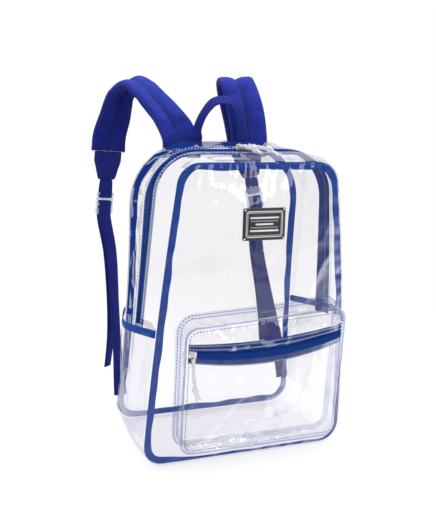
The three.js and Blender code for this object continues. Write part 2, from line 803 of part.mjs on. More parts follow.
// Shoulder strap: two pads side by side, with a stitched channel between them.
function strapProfile({ extra }) {
  const full = lerp(strapSeamThickness, strapThickness, extra) / 2;
  const half = strapWidth / 2;
  const shares = [
    { across: 1, out: 0 },
    { across: 0.93, out: 0.7 },
    { across: 0.55, out: 1 },
    { across: 0.12, out: 0.85 },
    { across: 0, out: 0.45 },
  ];
  const edge = shares.map(({ across, out }) => [across * half, out * full]);
  const left = edge.slice(0, -1).map(([a, b]) => [-a, b]).reverse();
  const top = [...edge, ...left];
  const under = top.slice(1, -1).map(([a, b]) => [a, -b]).reverse();
  return [...top, ...under];
}

function strapFrames(rows) {
  const points = rows.map(
    ({ across, back, up }) =>
      new THREE.Vector3(across * halfWidth, backFace + back * strapReach, bodyHeight + up * strapRise),
  );
  const widths = rows.map(({ lean, turn }) =>
    new THREE.Vector3(1, 0, 0)
      .applyAxisAngle(new THREE.Vector3(0, 1, 0), -radians(lean))
      .applyAxisAngle(new THREE.Vector3(0, 0, 1), radians(turn)),
  );
  return framesAlong(points, widths, strapStep, rows.map(({ pad }) => pad));
}

// A group whose X runs across the strap, Y down it and Z out of its rear, from the strap's end.
function hardwareGroup(frames) {
  const { origin, wide, tangent } = frames.at(-1);
  const group = new THREE.Group();
  const rear = wide.clone().cross(tangent);
  group.matrixAutoUpdate = false;
  group.matrix.makeBasis(wide, tangent, rear).setPosition(origin);
  group.updateMatrixWorld(true);
  return group;
}

const adjusterTop = clearance + patchLength + adjusterDrop;
const webbingStand = adjusterThickness / 2 + clearance + webbingThickness / 2;

function strapPatch() {
  const stations = [
    { down: 0, width: patchTopWidth },
    { down: 0.35, width: patchTopWidth },
    { down: 1, width: patchFootWidth },
  ];
  const frames = stations.map(({ down, width }) => ({
    origin: new THREE.Vector3(0, clearance + down * patchLength, 0),
    wide: new THREE.Vector3(1, 0, 0),
    deep: new THREE.Vector3(0, 0, -1),
    extra: width,
  }));
  return loft(frames, ({ extra }) => webbingProfile(extra, patchThickness)());
}

// Webbing in the plane across a group's X, through points given as [down, rear].
function flatRoute(route) {
  const points = route.map(([down, rear]) => new THREE.Vector3(0, down, rear));
  const widths = route.map(() => new THREE.Vector3(1, 0, 0));
  return loft(framesAlong(points, widths, webbingStep), webbingProfile());
}

// Round one edge of a bar, as [down, rear]: way is 1 for a turn below it and -1 for one above.
function quarterTurn(edge, way, ride) {
  const stops = [0, 0.25, 0.5, 0.75, 1].map((share) => (share * Math.PI) / 2);
  const flank = -adjusterThickness / 2;
  return [
    [edge - way * 2, flank - ride],
    ...stops.map((turn) => [edge + way * ride * Math.sin(turn), flank - ride * Math.cos(turn)]),
  ];
}

// The fixed webbing runs from the patch round the adjuster's top bar and back.
function upperWebbing() {
  const start = 2 * clearance + patchLength;
  const ride = clearance + webbingThickness / 2;
  const pinch = (webbingThickness + clearance) / 2;
  const front = [
    [start, -pinch],
    [lerp(start, adjusterTop, 0.5), -lerp(pinch, webbingStand, 0.7)],
    [adjusterTop, -webbingStand],
    ...quarterTurn(adjusterTop + barSizes.top, 1, ride),
  ];
  const rear = front.map(([down, out]) => [down, -out]).reverse();
  return flatRoute([...front, ...rear]);
}

function adjuster() {
  const shape = roundedShape(adjusterWidth, adjusterHeight, adjusterRadius);
  let down = barSizes.top;
  for (const [slot, bar] of [
    [slotSizes.top, barSizes.middle],
    [slotSizes.middle, barSizes.lower],
    [slotSizes.lower, 0],
  ]) {
    const high = -adjusterHeight / 2 + down;
    const hole = new THREE.Path();
    hole.moveTo(-slotWidth / 2, high);
    hole.lineTo(-slotWidth / 2, high + slot);
    hole.lineTo(slotWidth / 2, high + slot);
    hole.lineTo(slotWidth / 2, high);
    hole.lineTo(-slotWidth / 2, high);
    shape.holes.push(hole);
    down += slot + bar;
  }
  const plate = new THREE.ExtrudeGeometry(shape, {
    depth: adjusterThickness,
    bevelEnabled: false,
    curveSegments: 3,
  });
  return plate.translate(0, adjusterTop + adjusterHeight / 2, -adjusterThickness / 2);
}

// Down to the top of the bar that the lower webbing turns over.
const lowerBar = adjusterTop + barSizes.top + slotSizes.top + barSizes.middle + slotSizes.middle;

// The lower webbing climbs from the back panel's foot, turns over the adjuster's lower bar and
// hangs free behind. Its places in the adjuster come from the strap's own group.
function lowerWebbing(side, group, climb, tail) {
  const local = (down, rear) => group.localToWorld(new THREE.Vector3(0, down, rear));
  const ride = clearance + webbingThickness / 2;
  const below = adjusterTop + adjusterHeight;
  const front = local(below, -webbingStand);
  const place = ({ across, back, up }) =>
    new THREE.Vector3(
      side * across * halfWidth,
      backFace + ride + back * strapReach,
      lerp(webbingFootHeight, front.z, up),
    );
  const footX = webbingFootAcross * halfWidth;
  const footY = backSkinY(footX, webbingFootHeight) + ride;
  const bend = quarterTurn(lowerBar, -1, ride);
  const points = [
    new THREE.Vector3(side * footX, footY, webbingFootHeight),
    ...climb.map(place),
    front,
    ...bend.map(([down, rear]) => local(down, rear)),
    ...bend.map(([down, rear]) => local(down, -rear)).reverse(),
    local(below, webbingStand),
    ...tail.map(place),
  ];
  const turned = ({ turn }) =>
    new THREE.Vector3(Math.cos(radians(turn)), Math.sin(radians(turn)), 0);
  const across = new THREE.Vector3(1, 0, 0).transformDirection(group.matrixWorld);
  const widths = [
    new THREE.Vector3(1, 0, 0),
    ...climb.map(turned),
    ...Array.from({ length: 2 + 2 * bend.length }, () => across.clone()),
    ...tail.map(turned),
  ];
  return loft(framesAlong(points, widths, webbingStep), webbingProfile());
}

function haulLoop() {
  const ride = clearance + webbingThickness / 2;
  const points = haulRows.map(({ span, rise, back }) => {
    const x = haulCentre + span * haulSpan;
    const z = bodyHeight + rise * haulRise;
    return new THREE.Vector3(x, backFace + backSwell + ride + back, z);
  });
  const widths = haulRows.map(({ turn, tilt }) =>
    new THREE.Vector3(1, 0, 0)
      .applyAxisAngle(new THREE.Vector3(0, 0, 1), -radians(tilt))
      .applyAxisAngle(new THREE.Vector3(0, 1, 0), radians(turn)),
  );
  return loft(framesAlong(points, widths, haulStep), webbingProfile());
}

// Zip slider in its own frame: X along the zip, Y across it and Z out, over the coil.
function slider() {
  const plateFoot = coilHeight - vinyl + clearance;
  const block = (x, y, z) => new THREE.BoxGeometry(x, y, z);
  const plate = block(sliderLength, sliderWidth, sliderPlate);
  plate.translate(0, 0, plateFoot + sliderPlate / 2);
  const cheek = (sliderWidth - coilWidth) / 2 - clearance;
  const cheekHeight = plateFoot + sliderPlate / 2 + vinyl;
  const cheeks = [-1, 1].map((side) => {
    const made = block(sliderLength, cheek, cheekHeight);
    return made.translate(0, (side * (sliderWidth - cheek)) / 2, cheekHeight / 2 - vinyl);
  });
  const bail = new THREE.TorusGeometry(bailRadius, bailDiameter / 2, 6, 14);
  bail.rotateX(Math.PI / 2);
  bail.translate(0, 0, plateFoot + sliderPlate / 2 + bailRadius);
  return fused([plate, ...cheeks, bail]);
}

// Pull cords: a tube from the bail to the knot, and the knot with its two ends.
function cordTube(route, diameter) {
  const section = new THREE.Shape();
  section.absarc(0, 0, diameter / 2, 0, 2 * Math.PI);
  const path = new THREE.CatmullRomCurve3(route, false, "centripetal");
  const steps = Math.max(4, Math.round(path.getLength() / (2 * diameter)));
  return new THREE.ExtrudeGeometry(section, {
    steps,
    curveSegments: 4,
    bevelEnabled: false,
    extrudePath: path,
  });
}

function movedTo(place, rows) {
  return rows.map((offset) => place.clone().add(new THREE.Vector3(...offset)));
}

function knot(route, ends) {
  const end = route.at(-1);
  const along = end.clone().sub(route.at(-2)).normalize();
  const middle = end.clone().addScaledVector(along, knotDiameter / 2 + clearance);
  const ball = new THREE.SphereGeometry(knotDiameter / 2, 10, 7);
  ball.translate(...middle.toArray());
  const tails = ends.map((tip) => cordTube([middle, tip], tailDiameter));
  return fused([ball, ...tails]);
}

// Materials, by finish
const finishes = {
  clearVinyl: { color: 0xe9eef4, roughness: 0.08, metalness: 0, transparent: true, opacity: 0.25 },
  binding: { color: 0x0b4fa8, roughness: 0.55, metalness: 0 },
  zipTape: { color: 0x1247a5, roughness: 0.7, metalness: 0 },
  zipCoil: { color: 0x0c2f86, roughness: 0.4, metalness: 0 },
  strapFabric: { color: 0x27309c, roughness: 0.75, metalness: 0 },
  webbing: { color: 0x1f2a86, roughness: 0.8, metalness: 0 },
  adjuster: { color: 0xeceef0, roughness: 0.3, metalness: 0 },
  rubber: { color: 0x15161a, roughness: 0.6, metalness: 0 },
  metal: { color: 0xb9b8b2, roughness: 0.3, metalness: 1 },
  pullCord: { color: 0xe6e8ee, roughness: 0.85, metalness: 0 },
};

const backpack = new THREE.Group();

function add(name, geometry, finish, parent = backpack) {
  const material = new THREE.MeshStandardMaterial(finishes[finish]);
  const mesh = new THREE.Mesh(geometry, material);
  mesh.name = name;
  parent.add(mesh);
  return mesh;
}

function addBody() {
  const frontEdge = zipDepthShare - zipEdge;
  const backEdge = zipDepthShare + zipEdge;
  add("front_panel", panel(bodySection(0), frontSkinY, -1), "clearVinyl");
  add("back_panel", panel(bodySection(1), backSkinY, 1), "clearVinyl");
  add("gusset_front", bodyStrip(zipStart, 1 - zipStart, seamGap, frontEdge), "clearVinyl");
  add("gusset_back", bodyStrip(zipStart, 1 - zipStart, backEdge, 1 - seamGap), "clearVinyl");
  add("gusset_base", gussetBase(), "clearVinyl");
  add("front_seam_binding", seamBinding(0, frontSkinY, 1), "binding");
  add("back_seam_binding", seamBinding(1, backSkinY, -1), "binding");
}

function addMainZip() {
  add("main_zip_tape_front", mainTape(-1), "zipTape");
  add("main_zip_tape_back", mainTape(1), "zipTape");
  add("main_zip_coil", mainCoil(), "zipCoil");
}

function addSidePockets() {
  for (const [name, side] of [
    ["left", -1],
    ["right", 1],
  ]) {
    add(`side_pocket_${name}`, sidePocket(side), "clearVinyl");
    add(`side_pocket_binding_${name}`, sidePocketBinding(side), "binding");
  }
}

function addFrontPocket() {
  const near = zipTapeGap / 2;
  const far = near + zipTape;
  add("pocket_gusset", pocketGusset(), "clearVinyl");
  add("pocket_flange", pocketFlange(), "clearVinyl");
  add("pocket_face_lower", pocketFaceLower(), "clearVinyl");
  add("pocket_face_upper", pocketFaceUpper(), "clearVinyl");
  add("pocket_piping", pocketPiping(), "clearVinyl");
  add("pocket_zip_tape_lower", faceStrip(-far, -near, tapeLayer), "zipTape");
  add("pocket_zip_tape_upper", faceStrip(near, far, tapeLayer), "zipTape");
  const coil = { outer: coilHeight - vinyl, inner: -vinyl };
  add("pocket_zip_coil", faceStrip(-coilWidth / 2, coilWidth / 2, coil), "zipCoil");
}

function addBadge() {
  const mesh = add("badge", badge(), "rubber");
  const x = pocketCentre;
  const z = badgeHeightOnPanel;
  const rise = badgeHeight / 2;
  const lean = Math.atan2(frontSkinY(x, z + rise) - frontSkinY(x, z - rise), badgeHeight);
  mesh.rotation.x = Math.PI / 2 - lean;
  mesh.position.set(x, frontSkinY(x, z) - clearance, z);
}

function addStrap(name, side, rows, climb, tail) {
  const frames = strapFrames(rows);
  add(`shoulder_strap_${name}`, loft(frames, strapProfile), "strapFabric");
  const group = hardwareGroup(frames);
  backpack.add(group);
  add(`strap_patch_${name}`, strapPatch(), "strapFabric", group);
  add(`strap_webbing_${name}`, upperWebbing(), "webbing", group);
  add(`strap_adjuster_${name}`, adjuster(), "adjuster", group);
  add(`lower_webbing_${name}`, lowerWebbing(side, group, climb, tail), "webbing");
}

// Sets a slider on a skin: at is its place, run the way along the zip and out the way it faces.
function addSlider(name, at, run, out) {
  const mesh = add(name, slider(), "metal");
  const along = run.clone().normalize();
  const across = out.clone().cross(along).normalize();
  mesh.matrixAutoUpdate = false;
  mesh.matrix.makeBasis(along, across, along.clone().cross(across)).setPosition(at);
}

// A pull cord and its knot, counted from a slider's place.
function addPull(name, place) {
  const route = movedTo(place, pulls[name].route);
  add(`pull_cord_${name}`, cordTube(route, pullDiameter), "pullCord");
  add(`pull_knot_${name}`, knot(route, movedTo(place, pulls[name].ends)), "pullCord");
}

function addPulls() {
  const right = new THREE.Vector3(1, 0, 0);
  const front = new THREE.Vector3(0, -1, 0);
  const up = new THREE.Vector3(0, 0, 1);
  const start = -1 + (sliderLength / 2 + pocketSliderInset) / pocketHalf;
  const before = pocketFaceSkin(start - 1 / faceSteps, pocketZipHeight);
  const run = pocketFaceSkin(start + 1 / faceSteps, pocketZipHeight).sub(before);
  const pocketPlace = pocketFaceSkin(start, pocketZipHeight);
  addSlider("pocket_slider", pocketPlace, run, front);
  addPull("pocket", pocketPlace);
  const crown = bodySkin(0.5, zipDepthShare);
  const leftPlace = crown.clone().setX(mainSliderPlaces.left);
  const rightPlace = crown.clone().setX(mainSliderPlaces.right);
  addSlider("main_slider_left", leftPlace, right, up);
  addSlider("main_slider_right", rightPlace, right.clone().negate(), up);
  addPull("left", leftPlace);
  addPull("right", rightPlace);
}

addBody();
addMainZip();
addSidePockets();
addFrontPocket();
addBadge();
addStrap("left", -1, leftStrapRows, leftWebbingRows, leftTailRows);
addStrap("right", 1, rightStrapRows, rightWebbingRows, rightTailRows);
add("haul_loop", haulLoop(), "webbing");
addPulls();

export default backpack;
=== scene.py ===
# %% [markdown]
# # A clear vinyl backpack
# The bag is a soft clear box with a zip over its top, a clear pocket in front and blue straps,
# tapes and seam bindings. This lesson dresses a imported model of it. Every size below is in
# millimetres, in the model's own frame, and turns into metres when a mesh is made.

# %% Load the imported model
import json
import math
import bpy
from mathutils import Matrix, Quaternion, Vector, noise

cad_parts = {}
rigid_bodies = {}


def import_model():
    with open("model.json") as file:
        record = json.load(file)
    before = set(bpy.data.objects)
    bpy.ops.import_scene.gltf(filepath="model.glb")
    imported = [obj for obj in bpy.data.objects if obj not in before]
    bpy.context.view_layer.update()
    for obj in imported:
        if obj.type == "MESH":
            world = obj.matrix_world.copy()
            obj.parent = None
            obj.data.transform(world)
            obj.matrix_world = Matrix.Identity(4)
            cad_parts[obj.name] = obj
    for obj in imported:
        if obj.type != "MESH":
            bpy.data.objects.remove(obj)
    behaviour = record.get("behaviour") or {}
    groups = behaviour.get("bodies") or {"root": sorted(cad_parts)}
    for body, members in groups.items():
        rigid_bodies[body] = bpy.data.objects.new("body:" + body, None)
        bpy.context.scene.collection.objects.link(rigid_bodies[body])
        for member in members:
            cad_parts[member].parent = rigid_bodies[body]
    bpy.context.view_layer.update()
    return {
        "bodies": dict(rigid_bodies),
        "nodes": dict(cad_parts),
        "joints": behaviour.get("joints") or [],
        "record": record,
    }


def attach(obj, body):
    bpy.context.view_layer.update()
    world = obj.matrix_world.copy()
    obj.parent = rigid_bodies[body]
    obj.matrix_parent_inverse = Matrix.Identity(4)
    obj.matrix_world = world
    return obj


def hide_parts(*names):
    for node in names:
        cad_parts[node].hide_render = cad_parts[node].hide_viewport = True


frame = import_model()
print("packed nodes:", len(frame["nodes"]))

# %% [markdown]
# ## Camera
# A product picture like this one is taken from a little above and to the left, with a medium
# lens. The camera is made first, so that every look at the scene has the same framing. Its place
# is written as a point, a turn, a dip and a roll, which are easier to adjust than nine numbers.

# %% Camera
camera_place = Vector((-0.518, -1.121, 0.597))
camera_turn, camera_dip, camera_roll = 0.415, 0.267, 0.06
look = Vector(
    (
        math.sin(camera_turn) * math.cos(camera_dip),
        math.cos(camera_turn) * math.cos(camera_dip),
        -math.sin(camera_dip),
    )
)
level = Vector((math.cos(camera_turn), -math.sin(camera_turn), 0))
rise = level.cross(look)
across = math.cos(camera_roll) * level + math.sin(camera_roll) * rise
upward = math.cos(camera_roll) * rise - math.sin(camera_roll) * level
lens = bpy.data.cameras.new("camera_lens")
lens.sensor_width = 36
lens.lens = 59.5
camera = bpy.data.objects.new("camera", lens)
bpy.context.scene.collection.objects.link(camera)
turned = Matrix((across, upward, -look)).transposed().to_4x4()
camera.matrix_world = Matrix.Translation(camera_place) @ turned
bpy.context.scene.camera = camera
print("camera at", tuple(round(value, 3) for value in camera.location))

# %% [markdown]
# ## Meshes from rows of points
# Sheets, tapes, tubes and pads are all rows of points joined by quads. One helper builds them,
# closes them round a section if asked, and writes a map called cut, which holds the distance
# along and across the piece in metres, so that weaves and ribs keep their real size.

# %% Numbers, grids and pieces
MM = 0.001


def lerp(a, b, k):
    return a + (b - a) * k


def clamp(value, low=0.0, high=1.0):
    return max(low, min(high, value))


def ease(value):
    k = clamp(value)
    return k * k * (3 - 2 * k)


def spread(a, b, steps):
    return [lerp(a, b, i / steps) for i in range(steps + 1)]


def grid(rows, tube=False, capped=False, ring=False):
    """Quads between rows of points. tube closes each row, ring joins the last row to the first."""
    count = len(rows[0])
    points = [point for row in rows for point in row]
    faces, cuts = [], []
    along = [0.0]
    for before, after in zip(rows, rows[1:] + rows[:1]):
        along.append(along[-1] + sum((b - a).length for a, b in zip(before, after)) / count)
    rounds = []
    for row in rows:
        steps = [0.0]
        for a, b in zip(row, row[1:] + row[:1]):
            steps.append(steps[-1] + (b - a).length)
        rounds.append(steps)
    for i in range(len(rows) if ring else len(rows) - 1):
        k = (i + 1) % len(rows)
        for j in range(count if tube else count - 1):
            m = (j + 1) % count
            faces.append((i * count + j, k * count + j, k * count + m, i * count + m))
            cuts.append(
                (
                    (along[i], rounds[i][j]),
                    (along[i + 1], rounds[k][j]),
                    (along[i + 1], rounds[k][j + 1]),
                    (along[i], rounds[i][j + 1]),
                )
            )
    if capped:
        for i in (0, len(rows) - 1):
            ends = [i * count + j for j in range(count)]
            middle = sum((points[j] for j in ends), Vector()) / count
            points.append(middle)
            for j in range(count):
                pair = (ends[j], ends[(j + 1) % count])
                faces.append((*(pair if i == 0 else pair[::-1]), len(points) - 1))
                cuts.append(((along[i], rounds[i][j]),) * 3)
    return points, faces, cuts


def together(parts):
    """Several grids as one."""
    points, faces, cuts = [], [], []
    for some_points, some_faces, some_cuts in parts:
        start = len(points)
        points += some_points
        faces += [tuple(start + index for index in face) for face in some_faces]
        cuts += some_cuts
    return points, faces, cuts


def make(name, shape, finish, stands_for=(), smooth=True):
    """A piece of the scene: it rides on the bag, has a finish, may stand for nodes of the model."""
    points, faces, cuts = shape
    mesh = bpy.data.meshes.new(name)
    mesh.from_pydata([point * MM for point in points], [], faces)
    layer = mesh.uv_layers.new(name="cut")
    corner = 0
    for cut in cuts:
        for u, v in cut:
            layer.data[corner].uv = (u * MM, v * MM)
            corner += 1
    if smooth:
        mesh.shade_smooth()
    mesh.materials.append(finish)
    piece = bpy.data.objects.new(name, mesh)
    bpy.context.scene.collection.objects.link(piece)
    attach(piece, "root")
    if stands_for:
        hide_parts(*stands_for)
    return piece


# %% [markdown]
# ## Node finishes
# Each finish is a small network of nodes. Two helpers keep the networks short: one starts a
# finish with its output, and one puts a node in, with its plain values set on its own sockets
# and its other sockets joined to earlier nodes.

# %% Node helpers
def start_finish(name):
    finish = bpy.data.materials.new(name)
    finish.use_nodes = True
    tree = finish.node_tree
    tree.nodes.clear()
    return finish, tree


def put(tree, kind, sockets=None, **settings):
    node = tree.nodes.new("ShaderNode" + kind)
    for key, value in settings.items():
        setattr(node, key, value)
    for key, value in (sockets or {}).items():
        if isinstance(value, bpy.types.NodeSocket):
            tree.links.new(value, node.inputs[key])
        else:
            node.inputs[key].default_value = value
    return node


def cut_map(tree):
    return put(tree, "UVMap", uv_map="cut").outputs["UV"]


def ribs(tree, vector, period, way="X", kind="SIN"):
    """Even ribs, a period apart in metres, running across one axis of the map."""
    wave = put(
        tree,
        "TexWave",
        {"Vector": vector, "Scale": 0.314 / period},
        wave_type="BANDS",
        bands_direction=way,
        wave_profile=kind,
    )
    return wave.outputs["Fac"]


def blend_colour(tree, factor, low, high):
    mix = put(tree, "Mix", {0: factor}, data_type="RGBA")
    for socket, colour in ((mix.inputs[6], low), (mix.inputs[7], high)):
        socket.default_value = (*colour, 1)
    return mix.outputs[2]


# %% [markdown]
# ## Pull cords
# Each zip slider has a length of soft white braided cord through its ring, doubled, twisted
# together, and tied in a knot with two short ends. The cord is limp, so it lies on the bag. Two
# strands are wound round one path; a single smooth tube would look like plastic.

# %% The braided cord's finish
def cord_finish():
    finish, tree = start_finish("braided_cord")
    cut = cut_map(tree)
    lean = put(tree, "Mapping", {"Vector": cut, "Rotation": (0, 0, 0.7)}).outputs["Vector"]
    counter = put(tree, "Mapping", {"Vector": cut, "Rotation": (0, 0, -0.7)}).outputs["Vector"]
    plait = put(
        tree,
        "Math",
        {0: ribs(tree, lean, 0.0016), 1: ribs(tree, counter, 0.0016)},
        operation="MAXIMUM",
    ).outputs[0]
    bump = put(tree, "Bump", {"Height": plait, "Strength": 0.5, "Distance": 0.0003})
    # Where both plait waves are low, between the strands, the colour goes nearly black: painted shade
    # in the gaps.
    shader = put(
        tree,
        "BsdfPrincipled",
        {
            "Base Color": blend_colour(tree, plait, (0.08, 0.08, 0.12), (0.90, 0.91, 0.95)),
            "Roughness": 0.8,
            "Specular IOR Level": 0.3,
            "Normal": bump.outputs[0],
        },
    )
    put(tree, "OutputMaterial", {"Surface": shader.outputs[0]})
    return finish


BRAIDED_CORD = cord_finish()

# %% [markdown]
# ## Smooth lines and tubes
# Cords, beads, rings and bridges are round and follow a bent route. A curve object with a bevel
# would give them too, but a tube built ring by ring keeps its points in a known order, and its
# faces can be counted and checked. Each ring of points stands square to the route.

# %% Smooth lines and tubes
def line_point(points, t):
    """A point of the smooth line through some points, t counted in points."""
    index = min(int(t), len(points) - 2)
    k = t - index
    b, c = points[index], points[index + 1]
    a = points[index - 1] if index else b * 2 - c
    d = points[index + 2] if index + 2 < len(points) else c * 2 - b
    gaps = [max((q - p).length, 1e-4) ** 0.5 for p, q in ((a, b), (b, c), (c, d))]
    start = ((b - a) / gaps[0] - (c - a) / (gaps[0] + gaps[1]) + (c - b) / gaps[1]) * gaps[1]
    stop = ((c - b) / gaps[1] - (d - b) / (gaps[1] + gaps[2]) + (d - c) / gaps[2]) * gaps[1]
    square, cube = k * k, k * k * k
    return (
        b * (2 * cube - 3 * square + 1)
        + start * (cube - 2 * square + k)
        + c * (3 * square - 2 * cube)
        + stop * (cube - square)
    )


def smooth_line(points, spacing):
    stops = [0.0]
    for index, (a, b) in enumerate(zip(points, points[1:])):
        count = max(1, math.ceil((b - a).length / spacing))
        stops += [index + (i + 1) / count for i in range(count)]
    return [line_point(points, t) for t in stops]


def directions(points, closed=False):
    last = len(points) - 1
    found = []
    for i in range(len(points)):
        before = points[i - 1] if i or closed else points[0]
        after = points[(i + 1) % len(points)] if i < last or closed else points[last]
        found.append((after - before).normalized())
    return found


def sides_of(points, closed=False, guess=Vector((0.3, 0.2, 1))):
    """Two vectors square to a line at each of its points, carried along it without a twist."""
    pairs = []
    side = guess
    for way in directions(points, closed):
        side = (side - way * side.dot(way)).normalized()
        pairs.append((side.copy(), way.cross(side)))
    return pairs


def tube(points, radius, sides=8, closed=False):
    """A round tube. The radius may be one number or one at each point."""
    rows = []
    radii = radius if isinstance(radius, list) else [radius] * len(points)
    for point, (one, two), size in zip(points, sides_of(points, closed), radii):
        turns = [2 * math.pi * j / sides for j in range(sides)]
        rows.append([point + (one * math.cos(a) + two * math.sin(a)) * size for a in turns])
    return grid(rows, tube=True, capped=not closed, ring=closed)

# %% [markdown]
# ## Where the pull cords hang
# Each zip slider carries a short plaited cord with a knot near its end. The way a cord hangs
# could be left to a rope simulation, but the photograph shows how each one lies, so a few
# points of each route are written down, the same ones that the plain model uses.

# %% Cord routes, repeated from the model
pull_diameter, knot_diameter = 5, 11
slider_places = {
    "pocket": Vector((-105.7, -118.997, 177.793)),
    "left": Vector((-7.5, -7.006, 431.568)),
    "right": Vector((4.5, -7.006, 431.568)),
}
pull_routes = {
    "pocket": [
        (-0.3, -5.6, -3.9),
        (-0.5, -6.2, -10.1),
        (0.3, -6.2, -22.1),
        (1.7, -6.8, -33.1),
        (2.9, -7.6, -41.9),
    ],
    "left": [(0.5, -2.4, 5.9), (2.5, -7, 6), (6.5, -13, 5.5), (11, -19.5, 4.9)],
    "right": [(3, -2.4, 5.9), (7.5, -8, 6.1), (13.5, -17, 5.4), (19, -25, 4.6)],
}
pull_ends = {
    "pocket": [(6.3, -9.4, -63.6), (10.7, -10.2, -60.1)],
    "left": [(21.5, -34, 0.6), (17.5, -36.5, 0)],
    "right": [(33.5, -43, -0.9), (28.5, -47, -1.6)],
}

# %% [markdown]
# ## Cords, knots and loose ends
# Two strands wind round each other along the route, which gives the cord its twisted shadow.
# The knot is a tube on a trefoil loop, with a second frayed end beside the cord's own.

# %% Cords, knots and ends
def pull_cord(name):
    place = slider_places[name]
    route = [place + Vector(offset) for offset in pull_routes[name]]
    ends = [place + Vector(offset) for offset in pull_ends[name]]
    way = (route[-1] - route[-2]).normalized()
    middle = route[-1] + way * (knot_diameter / 2 + 0.35)
    whole = smooth_line([*route, middle, ends[0]], 1.1)
    knot_row = min(range(len(whole)), key=lambda i: (whole[i] - middle).length)
    strands = []
    for phase in (0, math.pi):
        line, radii = [], []
        travelled = 0.0
        for i, (point, (one, two)) in enumerate(zip(whole, sides_of(whole))):
            travelled += (point - whole[i - 1]).length if i else 0
            turn = phase + travelled * 2 * math.pi / 15
            apart = 1.4 if i < knot_row - 4 else lerp(0.5, 0.2, ease((i - knot_row) / 4))
            line.append(point + (one * math.cos(turn) + two * math.sin(turn)) * apart)
            past = ease((i - knot_row) / 5)
            radii.append(lerp(1.5, 1.3, past) * (1 + 0.25 * ease((i - len(whole) + 4) / 4)))
        strands.append(tube(line, radii))
    plait = together(strands)
    cord = make(f"braided_cord_{name}", plait, BRAIDED_CORD, [f"pull_cord_{name}"])
    turns = [2 * math.pi * i / 48 for i in range(48)]
    one, two = sides_of([route[-2], route[-1]])[1]
    rope = []
    for a in turns:
        flat = 2.3 + math.cos(3 * a)
        rope.append(
            middle
            + one * flat * math.cos(2 * a) * 1.12
            + way * flat * math.sin(2 * a) * 1.05
            + two * math.sin(3 * a) * 1.7
        )
    second = smooth_line([middle, middle.lerp(ends[1], 0.5) + two * 0.8, ends[1]], 1.1)
    frayed = [1.25 + 0.35 * ease((i - len(second) + 4) / 4) for i in range(len(second))]
    shape = together([tube(rope, 1.75, closed=True), tube(second, frayed)])
    knot = make(f"cord_knot_{name}", shape, BRAIDED_CORD, [f"pull_knot_{name}"])


for pull in pull_routes:
    pull_cord(pull)

# %% [markdown]
# ## Clear vinyl
# The sheet is a millimetre of soft clear plastic. What makes it visible is a faint grey tint,
# bright soft reflections on its creases, and darker edges where the eye looks along it. Real
# refraction through a dozen thin walls would be slow and noisy, so each wall is one surface
# that lets light straight through, mixed with a glossy coat by the angle of view.

# %% The clear finish
def vinyl_finish(name, tint, edge, crease=0.3, gloss=0.06, coat=0.82, most=0.3):
    finish, tree = start_finish(name)
    place = put(tree, "TexCoord").outputs["Object"]
    waves = put(tree, "TexNoise", {"Vector": place, "Scale": 26, "Detail": 3, "Roughness": 0.45})
    bump = put(
        tree,
        "Bump",
        {"Height": waves.outputs["Fac"], "Strength": crease, "Distance": 0.004},
    ).outputs[0]
    facing = put(tree, "LayerWeight", {"Blend": 0.35, "Normal": bump}).outputs["Facing"]
    steep = put(tree, "Math", {0: facing, 1: 3.0}, operation="POWER").outputs[0]
    clear = put(tree, "BsdfTransparent", {"Color": blend_colour(tree, steep, tint, edge)})
    shine = put(
        tree,
        "BsdfPrincipled",
        {"Base Color": (0.93, 0.94, 1, 1), "Metallic": 1.0, "Roughness": gloss, "Normal": bump},
    )
    fresnel = put(tree, "Fresnel", {"IOR": 1.45, "Normal": bump}).outputs[0]
    coated = put(tree, "Math", {0: fresnel, 1: coat}, operation="MULTIPLY").outputs[0]
    share = put(tree, "Math", {0: coated, 1: most}, operation="MINIMUM").outputs[0]
    mixed = put(tree, "MixShader", {0: share, 1: clear.outputs[0], 2: shine.outputs[0]})
    put(tree, "OutputMaterial", {"Surface": mixed.outputs[0]})
    return finish


CLEAR_VINYL = vinyl_finish("clear_vinyl", (0.945, 0.94, 0.95), (0.68, 0.69, 0.77))
CLEAR_HEM = vinyl_finish("clear_hem", (0.76, 0.79, 0.90), (0.48, 0.53, 0.70), crease=0.2)
CLEAR_FOLDED = vinyl_finish("clear_folded", (0.90, 0.90, 0.93), (0.58, 0.60, 0.70), crease=0.6)
CLEAR_EDGE = vinyl_finish("clear_vinyl_edge", (0.72, 0.75, 0.86), (0.36, 0.42, 0.62), crease=0.1)

# %% [markdown]
# ## The body's skin
# The walls follow the same seam loops as the model: a rounded rectangle whose corners, width
# and height change from the front seam to the back seam. A loft between a few sections, smoothed
# a little, gives a soft box. The wrinkles are added on top of it as small moves of each point.

# %% Seam loops
body_height, half_width, back_face = 432, 155, 80
body_depth, crown_depth = 160, 150
crown_radius, foot_radius = 92, 30
front_swell, back_swell, body_sway = 9, 3, 2.5
vinyl, gap = 1, 0.35
section_rows = [
    dict(depth=0.0, foot=1.0, crown=0.785, height=0.984, crown_round=0.37, foot_round=1.0, bow=4.5),
    dict(depth=0.2, foot=1.015, crown=0.85, height=0.99, crown_round=0.54, foot_round=1.1, bow=2),
    dict(depth=0.42, foot=1.015, crown=0.9, height=0.999, crown_round=0.76, foot_round=1.2, bow=2),
    dict(depth=0.72, foot=0.985, crown=0.905, height=1.001, crown_round=1.0, foot_round=1.2, bow=-4),
    dict(depth=1.0, foot=0.95, crown=0.885, height=1.0, crown_round=1.0, foot_round=1.0, bow=-4),
]
FOOT, FOOT_CORNER, SIDE, CROWN_CORNER, CROWN = 0.09, 0.14, 0.34, 0.42, 0.5


def loop(foot, crown, bottom, top, foot_round, crown_round, bow=0, sway=0):
    return dict(
        foot=foot,
        crown=crown,
        bottom=bottom,
        top=top,
        foot_round=foot_round,
        crown_round=crown_round,
        bow=bow,
        sway=sway,
    )


